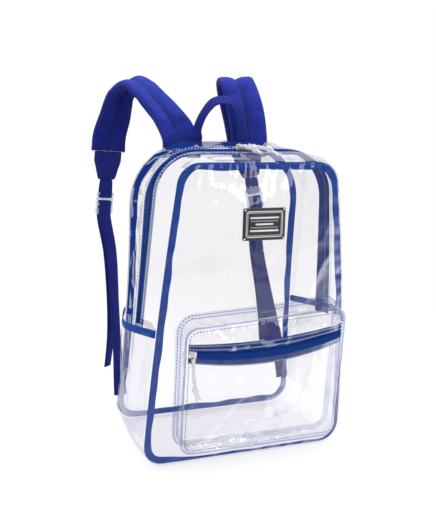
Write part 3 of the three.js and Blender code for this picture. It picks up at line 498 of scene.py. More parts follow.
def body_loop(depth):
    place = clamp(depth)
    index = next(i for i, row in enumerate(section_rows) if i and place <= row["depth"])
    a, b = section_rows[index - 1], section_rows[index]
    k = (place - a["depth"]) / (b["depth"] - a["depth"])
    mixed = {key: lerp(a[key], b[key], k) for key in a}
    return loop(
        foot=mixed["foot"] * half_width,
        crown=mixed["crown"] * half_width,
        bottom=0,
        top=mixed["height"] * body_height,
        foot_round=mixed["foot_round"] * foot_radius,
        crown_round=mixed["crown_round"] * crown_radius,
        bow=mixed["bow"],
        sway=body_sway,
    )


def loop_corner(shape, share):
    share %= 1
    side = -1 if share > 0.5 else 1
    v = 1 - share if share > 0.5 else share
    foot, crown = shape["foot"], shape["crown"]
    low, high = shape["foot_round"], shape["crown_round"]
    bottom, top = shape["bottom"], shape["top"]
    if v <= FOOT:
        x, z = (foot - low) * v / FOOT, bottom
    elif v <= FOOT_CORNER:
        turn = (v - FOOT) / (FOOT_CORNER - FOOT) * math.pi / 2
        x, z = foot - low + low * math.sin(turn), bottom + low - low * math.cos(turn)
    elif v <= SIDE:
        k = (v - FOOT_CORNER) / (SIDE - FOOT_CORNER)
        x = lerp(foot, crown, k) + shape["bow"] * 4 * k * (1 - k)
        z = lerp(bottom + low, top - high, k)
    elif v <= CROWN_CORNER:
        turn = (v - SIDE) / (CROWN_CORNER - SIDE) * math.pi / 2
        x, z = crown - high + high * math.cos(turn), top - high + high * math.sin(turn)
    else:
        x, z = (crown - high) * (1 - (v - CROWN_CORNER) / (CROWN - CROWN_CORNER)), top
    return Vector((side * x + shape["sway"] * math.sin(math.pi * z / top), 0, z))


def loop_point(shape, share):
    """The loop with its leg joints eased a little."""
    near = 0.006
    middle = loop_corner(shape, share)
    return middle * 0.5 + (loop_corner(shape, share - near) + loop_corner(shape, share + near)) * 0.25


def depth_at(z):
    return lerp(body_depth, crown_depth, z / body_height)


def body_skin(share, depth):
    near = 0.04
    places = [depth - near, depth, depth + near] if near < depth < 1 - near else [depth]
    point = sum((loop_point(body_loop(d), share) for d in places), Vector()) / len(places)
    point.y = back_face - (1 - depth) * depth_at(point.z)
    return point


def share_at(z, depth):
    shape = body_loop(depth)
    low = shape["bottom"] + shape["foot_round"]
    high = shape["top"] - shape["crown_round"]
    return lerp(FOOT_CORNER, SIDE, (z - low) / (high - low))


def swell_share(x, z, half, bottom, top):
    return clamp(1 - (x / half) ** 2) * clamp(1 - ((2 * z - bottom - top) / (top - bottom)) ** 2)


def panel_swell(shape, x, z):
    low = shape["bottom"] + shape["foot_round"]
    high = shape["top"] - shape["crown_round"]
    k = clamp((z - low) / (high - low))
    half = lerp(shape["foot"], shape["crown"], k) + shape["bow"] * 4 * k * (1 - k)
    x -= shape["sway"] * math.sin(math.pi * z / shape["top"])
    return swell_share(x, z, half, shape["bottom"], shape["top"])


def front_skin(x, z):
    return back_face - depth_at(z) - front_swell * panel_swell(body_loop(0), x, z)


def back_skin(x, z):
    return back_face + back_swell * panel_swell(body_loop(1), x, z)

# %% [markdown]
# ## Wrinkles
# Soft vinyl is never flat: it carries long soft waves and a few sharp folds. A cloth simulation
# could make them, but a thin sheet that is held on every edge hardly moves, so noise read at
# each point does it instead. The same place always gets the same wave, run after run.

# %% Wrinkles
def ripple(x, y, z, size, seed=0.0):
    return noise.noise(Vector((x / size + seed, y / size - seed, z / size + 2 * seed)))


def crease(x, y, z, size, seed=0.0, sharp=5.0):
    """A thin ridge wherever a soft noise passes through nothing: how a fold in vinyl runs."""
    return max(0.0, 1 - abs(ripple(x, y, z, size, seed)) * sharp) ** 2


def half_at(shape, z):
    """Half of a loop's width at a height, with its rounded corners."""
    low, high = shape["foot_round"], shape["crown_round"]
    under = shape["bottom"] + low - z
    over = z - shape["top"] + high
    if under > 0:
        return shape["foot"] - low + math.sqrt(max(low**2 - under**2, 0))
    if over > 0:
        return shape["crown"] - high + math.sqrt(max(high**2 - over**2, 0))
    k = (z - shape["bottom"] - low) / (shape["top"] - high - shape["bottom"] - low)
    return lerp(shape["foot"], shape["crown"], k) + shape["bow"] * 4 * k * (1 - k)


def loop_rows(shape, count=84):
    """Heights from a loop's foot to its crown, closer together in its corners."""
    low, high = shape["foot_round"], shape["crown_round"]
    foot = [shape["bottom"] + low * (1 - math.cos(k * math.pi / 2)) for k in spread(0, 1, 10)]
    crown = [shape["top"] - high + high * math.sin(k * math.pi / 2) for k in spread(0, 1, 12)]
    return foot + spread(foot[-1], crown[0], count)[1:-1] + crown


def edge_room(shape, x, z):
    """Distance from a loop's nearest side, foot or crown."""
    return min(half_at(shape, z) - abs(x), z - shape["bottom"], shape["top"] - z)


def panel_wave(shape, x, z, seed):
    """How far a flat panel's wrinkles stand out: soft in the middle, puckered along the seam."""
    room = max(edge_room(shape, x, z), 0)
    beside = half_at(shape, z) - abs(x) < min(z - shape["bottom"], shape["top"] - z)
    pucker = ripple(x, 0, z * 3.2, 46, seed + 4) if beside else ripple(x * 3.2, 0, z, 46, seed + 4)
    soft = 1.9 * ripple(x, 0, z, 105, seed) + 0.7 * ripple(x, 0, z, 42, seed + 1)
    folds = 1.1 * crease(x, 0, z * 0.6, 80, seed + 2) + 0.7 * crease(x * 0.6, 0, z, 52, seed + 6, 7)
    return (soft + folds) * ease(room / 40) + 2.3 * pucker * math.exp(-room / 16) * ease(room / 3)


def front_surface(x, z):
    """The front panel with its wrinkles, for everything that is sewn on it."""
    shape = body_loop(0)
    sway = shape["sway"] * math.sin(math.pi * z / shape["top"])
    return front_skin(x, z) - panel_wave(shape, x - sway, z, 3.1)

# %% [markdown]
# ## Front and back panels
# The two large panels are single sheets of clear vinyl, cut to the body's rounded outline and
# swelled a little towards the middle. The long waves fade out at the seams, where the sheet is
# held, and small puckers take their place there.

# %% Front and back panels
def panel(shape, skin, way, seed, columns=96):
    rows = []
    for z in loop_rows(shape):
        half = half_at(shape, z)
        sway = shape["sway"] * math.sin(math.pi * z / shape["top"])
        row = []
        for k in spread(-1, 1, columns):
            x = half * math.sin(k * math.pi / 2) * 0.35 + half * k * 0.65
            y = skin(x + sway, z) + way * panel_wave(shape, x, z, seed)
            row.append(Vector((x + sway, y, z)))
        rows.append(row)
    return grid(rows)


front_sheet = panel(body_loop(0), front_skin, -1, 3.1)
make("clear_front", front_sheet, CLEAR_VINYL, ["front_panel"])
back_sheet = panel(body_loop(1), back_skin, 1, 7.7)
make("clear_back", back_sheet, CLEAR_VINYL, ["back_panel"])

# %% [markdown]
# ## Sides, top and base
# One long strip runs round the bag between the two seams. The zip splits its upper part in two,
# and its ends meet a plain strip that is also the base. The vinyl folds most at the shoulders,
# where a straight strip has to turn a corner, so the wrinkles are strongest there.

# %% The strips between the seams
zip_depth, zip_foot = 0.42, 189
main_opening, main_tape_wide, tape_gap = 32, 18.5, 0.1
zip_edge = main_opening / 2 / body_depth
zip_start = share_at(zip_foot, zip_depth)


def outward(share, depth):
    ahead, behind = body_skin(share + 1e-3, depth), body_skin(share - 1e-3, depth)
    way = (ahead - behind).normalized()
    return Vector((way.z, 0, -way.x)).normalized()


def strip_wave(point, share, room):
    shoulder = math.exp(-(((min(share, 1 - share) - 0.38) / 0.05) ** 2))
    x, y, z = point
    over = ease((z - 380) / 40)
    soft = 1.8 * ripple(x, y * 0.7, z, 70, 5) + (0.8 + 2.4 * over) * ripple(x * 0.6, y, z, 27, 6)
    folds = (0.8 + 2.0 * shoulder + 1.8 * over) * crease(x * 0.8, y * 0.45, z, 40, 8, 4.5)
    return (soft + folds * 0.8) * ease(room / 16)


def strip(from_share, to_share, from_depth, to_depth, around, deep):
    rows = []
    for share in spread(from_share, to_share, around):
        way = outward(share, 0.5)
        row = []
        for depth in spread(from_depth, to_depth, deep):
            point = body_skin(share, depth)
            room = min(depth - from_depth, to_depth - depth) * body_depth
            wave = strip_wave(point, share % 1, room)
            if point.z < 3:
                wave = -abs(wave)
            row.append(point + way * wave)
        rows.append(row)
    return grid(rows)


make(
    "clear_strip_front",
    strip(zip_start, 1 - zip_start, 0.001, zip_depth - zip_edge, 300, 18),
    CLEAR_VINYL,
    ["gusset_front"],
)
make(
    "clear_strip_back",
    strip(zip_start, 1 - zip_start, zip_depth + zip_edge, 0.999, 300, 26),
    CLEAR_VINYL,
    ["gusset_back"],
)
make(
    "clear_base",
    strip(-zip_start, zip_start, 0.001, 0.999, 260, 44),
    CLEAR_VINYL,
    ["gusset_base"],
)


def tell(*names):
    """Prints how many faces each of these pieces has."""
    for piece in bpy.data.objects:
        if piece.type == "MESH" and piece.name in names:
            print(f"made {piece.name}: {len(piece.data.polygons)} faces")


tell("clear_strip_front", "clear_strip_back", "clear_base")

# %% [markdown]
# ## Seam bindings
# Inside each seam a blue tape is folded over the raw edges and sewn through. It shows through
# the clear panel as a band with a line of stitches. The tape follows the seam loop, set in by
# its own width, and its small folds come from the same noise as the vinyl's.

# %% Woven tape and thread finishes
def tape_finish(name, low, high, period=0.0011, rough=0.6, sheen=0.0):
    finish, tree = start_finish(name)
    cut = cut_map(tree)
    weave = ribs(tree, cut, period)
    cross = ribs(tree, cut, period * 1.7, "Y")
    both = put(tree, "Math", {0: weave, 1: cross}, operation="ADD").outputs[0]
    half = put(tree, "Math", {0: both, 1: 0.5}, operation="MULTIPLY").outputs[0]
    place = put(tree, "TexCoord").outputs["Object"]
    cloud = put(tree, "TexNoise", {"Vector": place, "Scale": 45, "Detail": 3}).outputs["Fac"]
    shade = put(tree, "Math", {0: half, 1: cloud}, operation="MULTIPLY").outputs[0]
    bump = put(tree, "Bump", {"Height": half, "Strength": 0.55, "Distance": 0.0002})
    shader = put(
        tree,
        "BsdfPrincipled",
        {
            "Base Color": blend_colour(tree, shade, low, high),
            "Roughness": rough,
            "Specular IOR Level": 0.15,
            "Sheen Weight": sheen,
            "Normal": bump.outputs[0],
        },
    )
    put(tree, "OutputMaterial", {"Surface": shader.outputs[0]})
    return finish


def thread_finish(name, colour):
    finish, tree = start_finish(name)
    twist = ribs(tree, cut_map(tree), 0.0005)
    bump = put(tree, "Bump", {"Height": twist, "Strength": 0.4, "Distance": 0.0001})
    # The grooves of the twist take a darker copy of the colour: painted shade.
    darker = tuple(value * 0.6 for value in colour)
    shader = put(
        tree,
        "BsdfPrincipled",
        {
            "Base Color": blend_colour(tree, twist, darker, colour),
            "Roughness": 0.6,
            "Sheen Weight": 0.2,
            "Normal": bump.outputs[0],
        },
    )
    put(tree, "OutputMaterial", {"Surface": shader.outputs[0]})
    return finish


BINDING_TAPE = tape_finish("binding_tape", (0.001, 0.034, 0.24), (0.002, 0.078, 0.45))
SEAM_THREAD = thread_finish("seam_thread", (0.006, 0.05, 0.26))
PALE_THREAD = thread_finish("pale_thread", (0.66, 0.74, 0.92))

# %% [markdown]
# ## Tapes and stitches along the seams
# Stitches could be painted on the tape, but here each one is a short raised thread, so that it
# catches the light at its own angle. The same function sews the zips, the pockets and the
# straps later on. The tape itself is a folded strip lofted round the seam loop.

# %% Bindings and rows of stitches
def pushed_in(shape, share, reach):
    edge = loop_point(shape, share)
    way = (loop_point(shape, share + 1e-3) - loop_point(shape, share - 1e-3)).normalized()
    return Vector((edge.x - way.z * reach, 0, edge.z + way.x * reach))


def stitches(lines, pitch=3.4, length=2.3, width=0.5):
    """Short threads lying along lines of (point, way out)."""
    parts = []
    for line in lines:
        travelled, due = 0.0, 0.0
        for (a, _), (b, out) in zip(line, line[1:]):
            run = b - a
            size = run.length
            if size < 1e-6:
                continue
            way = run / size
            while due < travelled + size:
                at = a + way * (due - travelled) + out * width * 0.3
                side = way.cross(out).normalized() * width * 0.5
                lift = out * width * 0.5
                rows = []
                for k, fat in ((0, 0.25), (0.2, 1), (0.8, 1), (1, 0.25)):
                    centre = at + way * length * k
                    rows.append([centre + edge * fat for edge in (side, lift, -side, -lift)])
                parts.append(grid(rows, tube=True))
                due += pitch
            travelled += size
    return together(parts)


def binding(shape, skin, inward, foot_share=1.0, width=10.0, thick=1.6, around=420):
    """A folded tape inside the seam, its inner edge wandering, narrower along part of the foot."""
    rows = []
    profile = [(0, 0), (0.03, -0.5), (0.35, -0.62), (0.75, -0.5), (0.98, -0.35), (1, 0.1)]
    profile += [(0.98, 0.6), (0.6, 1.0), (0.15, 0.9), (0.0, 0.5)]
    for i in range(around):
        share = i / around
        edge = loop_point(shape, share)
        shoulder = math.exp(-(((min(share, 1 - share) - 0.38) / 0.05) ** 2))
        wide = width * (0.97 + 0.3 * ripple(edge.x, 0, edge.z, 38, 31) + 0.15 * shoulder)
        wide *= lerp(1, foot_share, ease((edge.x + 118) / 50) * ease((62 - edge.z) / 40))
        row = []
        for reach, stand in profile:
            at = pushed_in(shape, share, 1.35 + reach * wide)
            lift = 1.35 + thick * 0.5 + stand * thick * 0.5
            lift += 0.35 * ripple(at.x, 0, at.z, 16, 2) * reach
            row.append(Vector((at.x, skin(at.x, at.z) + inward * lift, at.z)))
        rows.append(row)
    return grid(rows, tube=True, ring=True)


def seam_line(shape, skin, reach, stand, around=420):
    line = []
    for i in range(around + 1):
        at = pushed_in(shape, i / around, reach)
        at.y = skin(at.x, at.z) + stand
        line.append((at, Vector((0, math.copysign(1, stand), 0))))
    return line


front_loop, back_loop = body_loop(0), body_loop(1)
front_tape = binding(front_loop, front_skin, 1, foot_share=0.42)
make("front_binding", front_tape, BINDING_TAPE, ["front_seam_binding"])
back_tape = binding(back_loop, back_skin, -1)
make("back_binding", back_tape, BINDING_TAPE, ["back_seam_binding"])
seam_stitches = stitches(
    [seam_line(front_loop, front_skin, 4.4, -0.9), seam_line(back_loop, back_skin, 6.5, 0.9)],
)
make("seam_stitches", seam_stitches, SEAM_THREAD)
tell("front_binding", "back_binding", "seam_stitches")

# %% [markdown]
# ## Zips
# Each zip has two woven tapes under the vinyl's edges and a nylon coil between them. The coil
# is modelled tooth by tooth, because its ribs catch the light. The teeth lean in from both
# sides and meet in the middle; the tapes carry one pale row of stitches each side.

# %% Zip finishes and helpers
ZIP_TAPE = tape_finish("zip_tape", (0.001, 0.022, 0.15), (0.003, 0.055, 0.31), 0.0009)


def coil_finish():
    finish, tree = start_finish("zip_coil")
    place = put(tree, "TexCoord").outputs["Object"]
    cloud = put(tree, "TexNoise", {"Vector": place, "Scale": 180, "Detail": 2}).outputs["Fac"]
    bump = put(tree, "Bump", {"Height": cloud, "Strength": 0.15, "Distance": 0.0002})
    shader = put(
        tree,
        "BsdfPrincipled",
        {
            "Base Color": blend_colour(tree, cloud, (0.001, 0.028, 0.20), (0.004, 0.060, 0.36)),
            "Roughness": 0.55,
            "Specular IOR Level": 0.12,
            "Normal": bump.outputs[0],
        },
    )
    put(tree, "OutputMaterial", {"Surface": shader.outputs[0]})
    return finish


ZIP_COIL = coil_finish()


tooth_profile = ((1.0, 0.1, 0.8), (0.75, 0.75, 1), (0.1, 0.95, 1), (-0.14, 0.55, 1))


def zip_teeth(line, pitch=1.7, half=3.1, high=1.9, sink=1.0):
    """Teeth along a line of (point, way out, way across)."""
    parts = []
    travelled, due, turn = 0.0, 0.0, 1
    for (a, out_a, side_a), (b, _, _) in zip(line, line[1:]):
        run = b - a
        size = run.length
        while size > 1e-6 and due < travelled + size:
            way = run / size
            at = a + way * (due - travelled)
            rows = []
            for reach, lift, fat in tooth_profile:
                centre = at + side_a * half * reach * turn + out_a * (high * lift - sink)
                ring = []
                for k in range(6):
                    angle = k * math.pi / 3
                    along = way * math.cos(angle) * 0.62 * fat
                    ring.append(centre + along + out_a * math.sin(angle) * 0.5 * fat)
                rows.append(ring)
            parts.append(grid(rows, tube=True, capped=True))
            due += pitch / 2
            turn = -turn
        travelled += size
    return together(parts)

# %% [markdown]
# ## Main zip
# The main zip runs up one side, over the top and down the other. Its tapes, teeth and stitches
# all follow one line on the body's skin, so they stay together however the skin is shaped. Each
# tape is a thin closed strip just inside the edge of the vinyl.

# %% Main zip
def main_tape(side):
    rows = []
    for share in spread(zip_start - 0.004, 1 - zip_start + 0.004, 320):
        way = outward(share, zip_depth)
        row = []
        for k, lift in ((0.05, 0.35), (0.25, 0.1), (0.5, 0), (0.8, 0), (1, 0)):
            depth = zip_depth + side * (tape_gap / 2 + main_tape_wide * k) / body_depth
            at = body_skin(share, depth)
            row.append(at - way * (1.75 - lift))
        rows.append(row + [point - way * 0.6 for point in reversed(row)])
    return grid(rows, tube=True, capped=True)


make("main_tape_front", main_tape(-1), ZIP_TAPE, ["main_zip_tape_front"])
make("main_tape_back", main_tape(1), ZIP_TAPE, ["main_zip_tape_back"])
main_line = []
for share in spread(zip_start, 1 - zip_start, 420):
    main_line.append((body_skin(share, zip_depth), outward(share, zip_depth), Vector((0, 1, 0))))
make("main_coil", zip_teeth(main_line), ZIP_COIL, ["main_zip_coil"])
zip_rows = []
for side in (-1, 1):
    for off, lift in ((14.2, -1.5), (17.4, 0.2)):
        depth = zip_depth + side * off / body_depth
        zip_rows.append(
            [
                (body_skin(share, depth) + outward(share, depth) * lift, outward(share, depth))
                for share in spread(zip_start, 1 - zip_start, 420)
            ]
        )
make("main_zip_stitches", stitches(zip_rows, 4.8, 2.3, 1.7), PALE_THREAD)
tell("main_tape_front", "main_tape_back", "main_coil", "main_zip_stitches")

# %% [markdown]
# ## Side pockets
# A flat clear sheet is sewn over each side and hangs a little open at its blue-taped mouth. It
# is the body's own skin moved out by a bulge that is fullest at the mouth.

# %% Side pockets
pocket_foot_height, mouth_front, mouth_back = 40, 199, 183
mouth_tape = 11
mouth_share = mouth_tape / (mouth_front - pocket_foot_height)
stitch_share = 0.86 * mouth_share


def side_pocket_point(side, depth, rise_share):
    mouth = lerp(mouth_front, mouth_back, depth)
    share = share_at(lerp(pocket_foot_height, mouth, rise_share), depth)
    at = body_skin(share if side > 0 else 1 - share, depth)
    full = 16 * math.sin(math.pi * depth) * math.sin(math.pi / 2 * max(rise_share, 0) ** 0.8)
    at.x += side * (gap + vinyl + full)
    return at


def side_pocket(side):
    rows = []
    for rise_share in spread(0, 1 - mouth_share * 0.6, 48):
        row = []
        for depth in spread(0.002, 0.998, 40):
            at = side_pocket_point(side, depth, rise_share)
            room = ease(min(depth, 1 - depth) / 0.12) * ease(rise_share / 0.12)
            wave = 1.1 * ripple(at.x, at.y, at.z, 60, 9 + side)
            wave += 0.8 * crease(at.x, at.y, at.z * 0.5, 48, 11 + side)
            at.x += side * wave * room * ease((1.05 - rise_share) / 0.1)
            row.append(at)
        rows.append(row)
    return grid(rows)


mouth_profile = [(0, 0.9), (0.06, 1.15), (0.5, 1.25), (0.94, 1.2), (1, 0)]
mouth_profile += [(0.94, -1.2), (0.5, -1.25), (0, -0.9)]


def mouth_binding(side):
    rows = []
    for depth in spread(0.005, 0.995, 60):
        row = []
        for k, stand in mouth_profile:
            at = side_pocket_point(side, depth, 1 - mouth_share + mouth_share * k)
            at.x += side * (stand * 0.62 - 0.5)
            row.append(at)
        rows.append(row)
    return grid(rows, tube=True, capped=True)


mouth_rows = []
for name, side in (("left", -1), ("right", 1)):
    sheet, tape = side_pocket(side), mouth_binding(side)
    make(f"side_pocket_sheet_{name}", sheet, CLEAR_VINYL, [f"side_pocket_{name}"])
    make(f"mouth_tape_{name}", tape, BINDING_TAPE, [f"side_pocket_binding_{name}"])
    line = []
    for depth in spread(0.01, 0.99, 60):
        at = side_pocket_point(side, depth, 1 - stitch_share)
        line.append((at + Vector((side * 0.3, 0, 0)), Vector((side, 0, 0))))
    mouth_rows.append(line)
make("mouth_stitches", stitches(mouth_rows), SEAM_THREAD)
tell("side_pocket_sheet_left", "side_pocket_sheet_right", "mouth_stitches")

# %% [markdown]
# ## Front pocket
# The pocket is a shallow clear box: a stitched rim on the front panel, a gusset that stands
# forward, and a face with a zip across it. Soft vinyl cannot hold its shape, so the gusset is
# dented between its two seams, and the face sags in the middle. Clear beads mark its front edge.

# %% Pocket skins
pocket_centre, pocket_seam_centre = 4.5, 10
pocket_half, pocket_seam_half = 117.5, 115
pocket_foot, pocket_top, pocket_round = 34, 217, 15
pocket_sway, pocket_sag, pocket_swell = 6.5, 17, 12
pocket_zip_height, zip_opening = 184, 11
pocket_face = front_skin(pocket_half, (pocket_foot + pocket_top) / 2) - 38


def pocket_loop(half, grow=0.0):
    wide, corner = half + grow, pocket_round + grow
    return loop(wide, wide, pocket_foot - grow, pocket_top + grow, corner, corner)


def sagged(x, z):
    return z + pocket_sway * (x / pocket_half) * (z - pocket_foot) / (pocket_top - pocket_foot)


def pocket_face_point(across_share, z):
    x = half_at(pocket_loop(pocket_half), z) * across_share
    share = swell_share(x, z, pocket_half, pocket_foot, pocket_top)
    y = pocket_face - pocket_swell * share
    return Vector((pocket_centre + x, y, sagged(x, z) - pocket_sag * share))


def pocket_gusset():
    base_loop, front_edge = pocket_loop(pocket_seam_half), pocket_loop(pocket_half)
    rows = []
    around = 380
    for i in range(around):
        share = i / around
        base, front = loop_point(base_loop, share), loop_point(front_edge, share)
        base.x, base.z = pocket_seam_centre + base.x, sagged(base.x, base.z)
        front.x, front.z = pocket_centre + front.x, sagged(front.x, front.z)
        base.y = front_surface(base.x, base.z) - gap
        front.y = pocket_face + 0.4
        ahead, behind = loop_point(base_loop, share + 1e-3), loop_point(base_loop, share - 1e-3)
        way = (ahead - behind).normalized()
        out = Vector((way.z, 0, -way.x))
        row = []
        for v in spread(0, 1, 22):
            at = base.lerp(front, v)
            wave = 3.4 * ripple(at.x, at.y * 1.3, at.z, 26, 13)
            wave += 3.0 * crease(at.x, at.y * 0.8, at.z, 25, 14, 4)
            dip = 2.0 * math.sin(math.pi * v)
            row.append(at + out * (wave - dip) * math.sin(math.pi * v) ** 0.8)
        rows.append(row)
    return grid(rows, ring=True)


def pocket_flange():
    rows = []
    around = 380
    for i in range(around):
        row = []
        for v in spread(0, 1, 5):
            flat = loop_point(pocket_loop(pocket_seam_half, 0.2 + 10 * v), i / around)
            x, z = pocket_seam_centre + flat.x, sagged(flat.x, flat.z)
            y = front_surface(x, z) - 0.6 - 0.5 * v * (1 + ripple(x, 0, z, 20, 15))
            row.append(Vector((x, y, z)))
        rows.append(row)
    return grid(rows, ring=True)


def pocket_panel(low, high, rows_wanted, corner):
    """The face under the zip (corner -1) or over it (corner 1), rows close at the corners."""
    rounded = [pocket_round * (1 - math.cos(k * math.pi / 2)) for k in spread(0, 1, 9)]
    if corner < 0:
        straight = spread(pocket_foot + pocket_round, high, rows_wanted)[1:]
        heights = [pocket_foot + r for r in rounded] + straight
    else:
        straight = spread(low, pocket_top - pocket_round, rows_wanted)[:-1]
        heights = straight + [pocket_top - r for r in reversed(rounded)]
    rows = []
    for z in heights:
        row = []
        for k in spread(-1, 1, 96):
            at = pocket_face_point(k, z)
            from_side = (1 - abs(k)) * pocket_half
            room = min(from_side, z - pocket_foot, pocket_top - z, abs(z - pocket_zip_height))
            wave = 1.7 * ripple(at.x, 0, at.z, 85, 17)
            wave += 1.4 * crease(at.x, 0, at.z * 0.7, 60, 18)
            wave += 0.8 * crease(at.x * 0.5, 0, at.z, 36, 27, 7)
            if corner > 0:
                wave += lerp(2.6, 1.2, (k + 1) / 2) * crease(at.x, 0, at.z * 1.2, 52, 29, 3)
                wave += 1.3 * ripple(at.x, 0, at.z * 1.3, 44, 30)
                room *= 2.4
            from_lip = (abs(z - pocket_zip_height) - zip_opening / 2) / 3.5
            lip = math.exp(-(from_lip**2)) * ease((1 - abs(k)) / 0.05)
            fine = 0.6 * ripple(at.x * 2.2, 0, at.z, 34, 19) * ease(room / 5)
            at.y -= wave * ease(room / 22) + fine
            at.y -= 0.5 * lip * (0.7 + ripple(at.x, 0, 0, 22, 23))
            row.append(at)
        rows.append(row)
    return grid(rows)


make("pocket_sides", pocket_gusset(), CLEAR_FOLDED, ["pocket_gusset"])
make("pocket_rim", pocket_flange(), CLEAR_HEM, ["pocket_flange"])
make(
    "pocket_front_lower",
    pocket_panel(pocket_foot, pocket_zip_height - zip_opening / 2, 54, -1),
    CLEAR_VINYL,
    ["pocket_face_lower"],
)
make(
    "pocket_front_upper",
    pocket_panel(pocket_zip_height + zip_opening / 2, pocket_top, 12, 1),
    CLEAR_VINYL,
    ["pocket_face_upper"],
)

# %% [markdown]
# ## The pocket's bead, zip and stitches
# A clear bead stiffens the front edge of the pocket, and a zip crosses its face in a gentle sag.
# Every line is taken from the pocket's own face, so tape, coil and stitches sag together. The
# stitches stand a little off the sheet, so that none of them sinks into it.

# %% Pocket bead, zip and stitching
def pocket_edge_line(grow, y, around=320, half=pocket_half, centre=pocket_centre):
    line = []
    for i in range(around):
        flat = loop_point(pocket_loop(half, grow), i / around)
        line.append(Vector((centre + flat.x, y, sagged(flat.x, flat.z))))
    return line


bead = tube(pocket_edge_line(1.85, pocket_face + 0.75), 1.5, 10, closed=True)
make("pocket_bead", bead, CLEAR_EDGE, ["pocket_piping"])


def pocket_strip(low, high, lifts, sink, inset=2.7):
    rows = []
    reach = 1 - inset / pocket_half
    for k in spread(-reach, reach, 160):
        row = []
        for share, lift in lifts:
            at = pocket_face_point(k, pocket_zip_height + lerp(low, high, share))
            row.append(at + Vector((0, sink - lift, 0)))
        rows.append(row + [point + Vector((0, 0.6, 0)) for point in reversed(row)])
    return grid(rows, tube=True, capped=True)


flat_tape = ((0, 0.3), (0.3, 0.05), (0.7, 0), (1, 0))
make(
    "pocket_tape_lower",
    pocket_strip(-0.05, -13.1, flat_tape, 1.75),
    ZIP_TAPE,
    ["pocket_zip_tape_lower"],
)
make(
    "pocket_tape_upper",
    pocket_strip(0.05, 13.1, flat_tape, 1.75),
    ZIP_TAPE,
    ["pocket_zip_tape_upper"],
)
pocket_line = [
    (pocket_face_point(k, pocket_zip_height), Vector((0, -1, 0)), Vector((0, 0, 1)))
    for k in spread(-0.975, 0.975, 160)
]
make("pocket_coil", zip_teeth(pocket_line), ZIP_COIL, ["pocket_zip_coil"])
pocket_rows = []
for off in (-11.2, 7.2, 11.8):
    pocket_rows.append(
        [
            (pocket_face_point(k, pocket_zip_height + off) + Vector((0, -0.25, 0)), Vector((0, -1, 0)))
            for k in spread(-0.975, 0.975, 120)
        ]
    )
make("pocket_zip_stitches", stitches(pocket_rows, 4.2, 2.1, 1.35), PALE_THREAD)
rim_rows = []
for grow in (3.0, 7.5):
    line = []
    for at in pocket_edge_line(grow, 0, 360, pocket_seam_half, pocket_seam_centre):
        at.y = front_surface(at.x, at.z) - 1.5
        line.append((at, Vector((0, -1, 0))))
    rim_rows.append(line)
face_edge = [(at, Vector((0, -1, 0))) for at in pocket_edge_line(-3.2, pocket_face - 0.3)]
rim_rows.append(face_edge)
make("pocket_rim_stitches", stitches(rim_rows, 4.8, 2.6, 1.5), SEAM_THREAD)
tell("pocket_bead", "pocket_coil", "pocket_zip_stitches", "pocket_rim_stitches")

# %% [markdown]
# ## Badge
# A small black rubber plate is sewn high on the front panel. Its own design is plain: a raised
# silver frame, four corner studs and three bars. The plate is a rounded slab with a soft edge,
# and the raised marks are separate silver pieces, because the real ones are painted on top.

# %% Badge
badge_wide, badge_high, badge_thick, badge_up = 63, 44, 2, 341.5
badge_x = pocket_centre
badge_half = badge_high / 2
lean_run = front_skin(badge_x, badge_up + badge_half) - front_skin(badge_x, badge_up - badge_half)
badge_lean = math.atan2(lean_run, badge_high)
badge_out = Vector((0, -math.cos(badge_lean), math.sin(badge_lean))).normalized()
badge_side = Vector((1, 0, 0))
badge_top = badge_out.cross(badge_side)
badge_nearest = min(
    front_surface(badge_x + x, badge_up + z) for x in (-31, 0, 31) for z in (-21, 0, 21)
)
badge_foot = Vector((badge_x, badge_nearest - 0.3, badge_up))


def rubber_finish():
    finish, tree = start_finish("badge_rubber")
    place = put(tree, "TexCoord").outputs["Object"]
    grain = put(tree, "TexNoise", {"Vector": place, "Scale": 900, "Detail": 2}).outputs["Fac"]
    cloud = put(tree, "TexNoise", {"Vector": place, "Scale": 60, "Detail": 3}).outputs["Fac"]
    bump = put(tree, "Bump", {"Height": grain, "Strength": 0.25, "Distance": 0.0002})
    shader = put(
        tree,
        "BsdfPrincipled",
        {
            "Base Color": blend_colour(tree, cloud, (0.006, 0.006, 0.008), (0.02, 0.02, 0.024)),
            "Roughness": 0.45,
            "Normal": bump.outputs[0],
        },
    )
    put(tree, "OutputMaterial", {"Surface": shader.outputs[0]})
    return finish


def metal_finish(name, low, high, rough):
    finish, tree = start_finish(name)
    place = put(tree, "TexCoord").outputs["Object"]
    grain = put(tree, "TexNoise", {"Vector": place, "Scale": 700, "Detail": 3}).outputs["Fac"]
    wear = put(tree, "MapRange", {"Value": grain, "To Min": rough * 0.8, "To Max": rough * 1.3})
    shader = put(
        tree,
        "BsdfPrincipled",
        {
            "Base Color": blend_colour(tree, grain, low, high),
            "Metallic": 1.0,
            "Roughness": wear.outputs[0],
        },
    )
    put(tree, "OutputMaterial", {"Surface": shader.outputs[0]})
    return finish


BADGE_RUBBER = rubber_finish()
SILVER_PAINT = metal_finish("silver_paint", (0.55, 0.56, 0.58), (0.80, 0.81, 0.82), 0.4)
SLIDER_METAL = metal_finish("slider_metal", (0.50, 0.50, 0.49), (0.78, 0.77, 0.74), 0.22)


def rounded_outline(wide, high, radius, steps=6):
    points = []
    for cx, cy, start in ((1, 1, 0), (-1, 1, 90), (-1, -1, 180), (1, -1, 270)):
        for k in spread(0, 90, steps):
            a = math.radians(start + k)
            points.append(
                (
                    cx * (wide / 2 - radius) + radius * math.cos(a),
                    cy * (high / 2 - radius) + radius * math.sin(a),
                )
            )
    return points


def on_badge(x, y, stand):
    return badge_foot + badge_side * x + badge_top * y + badge_out * stand


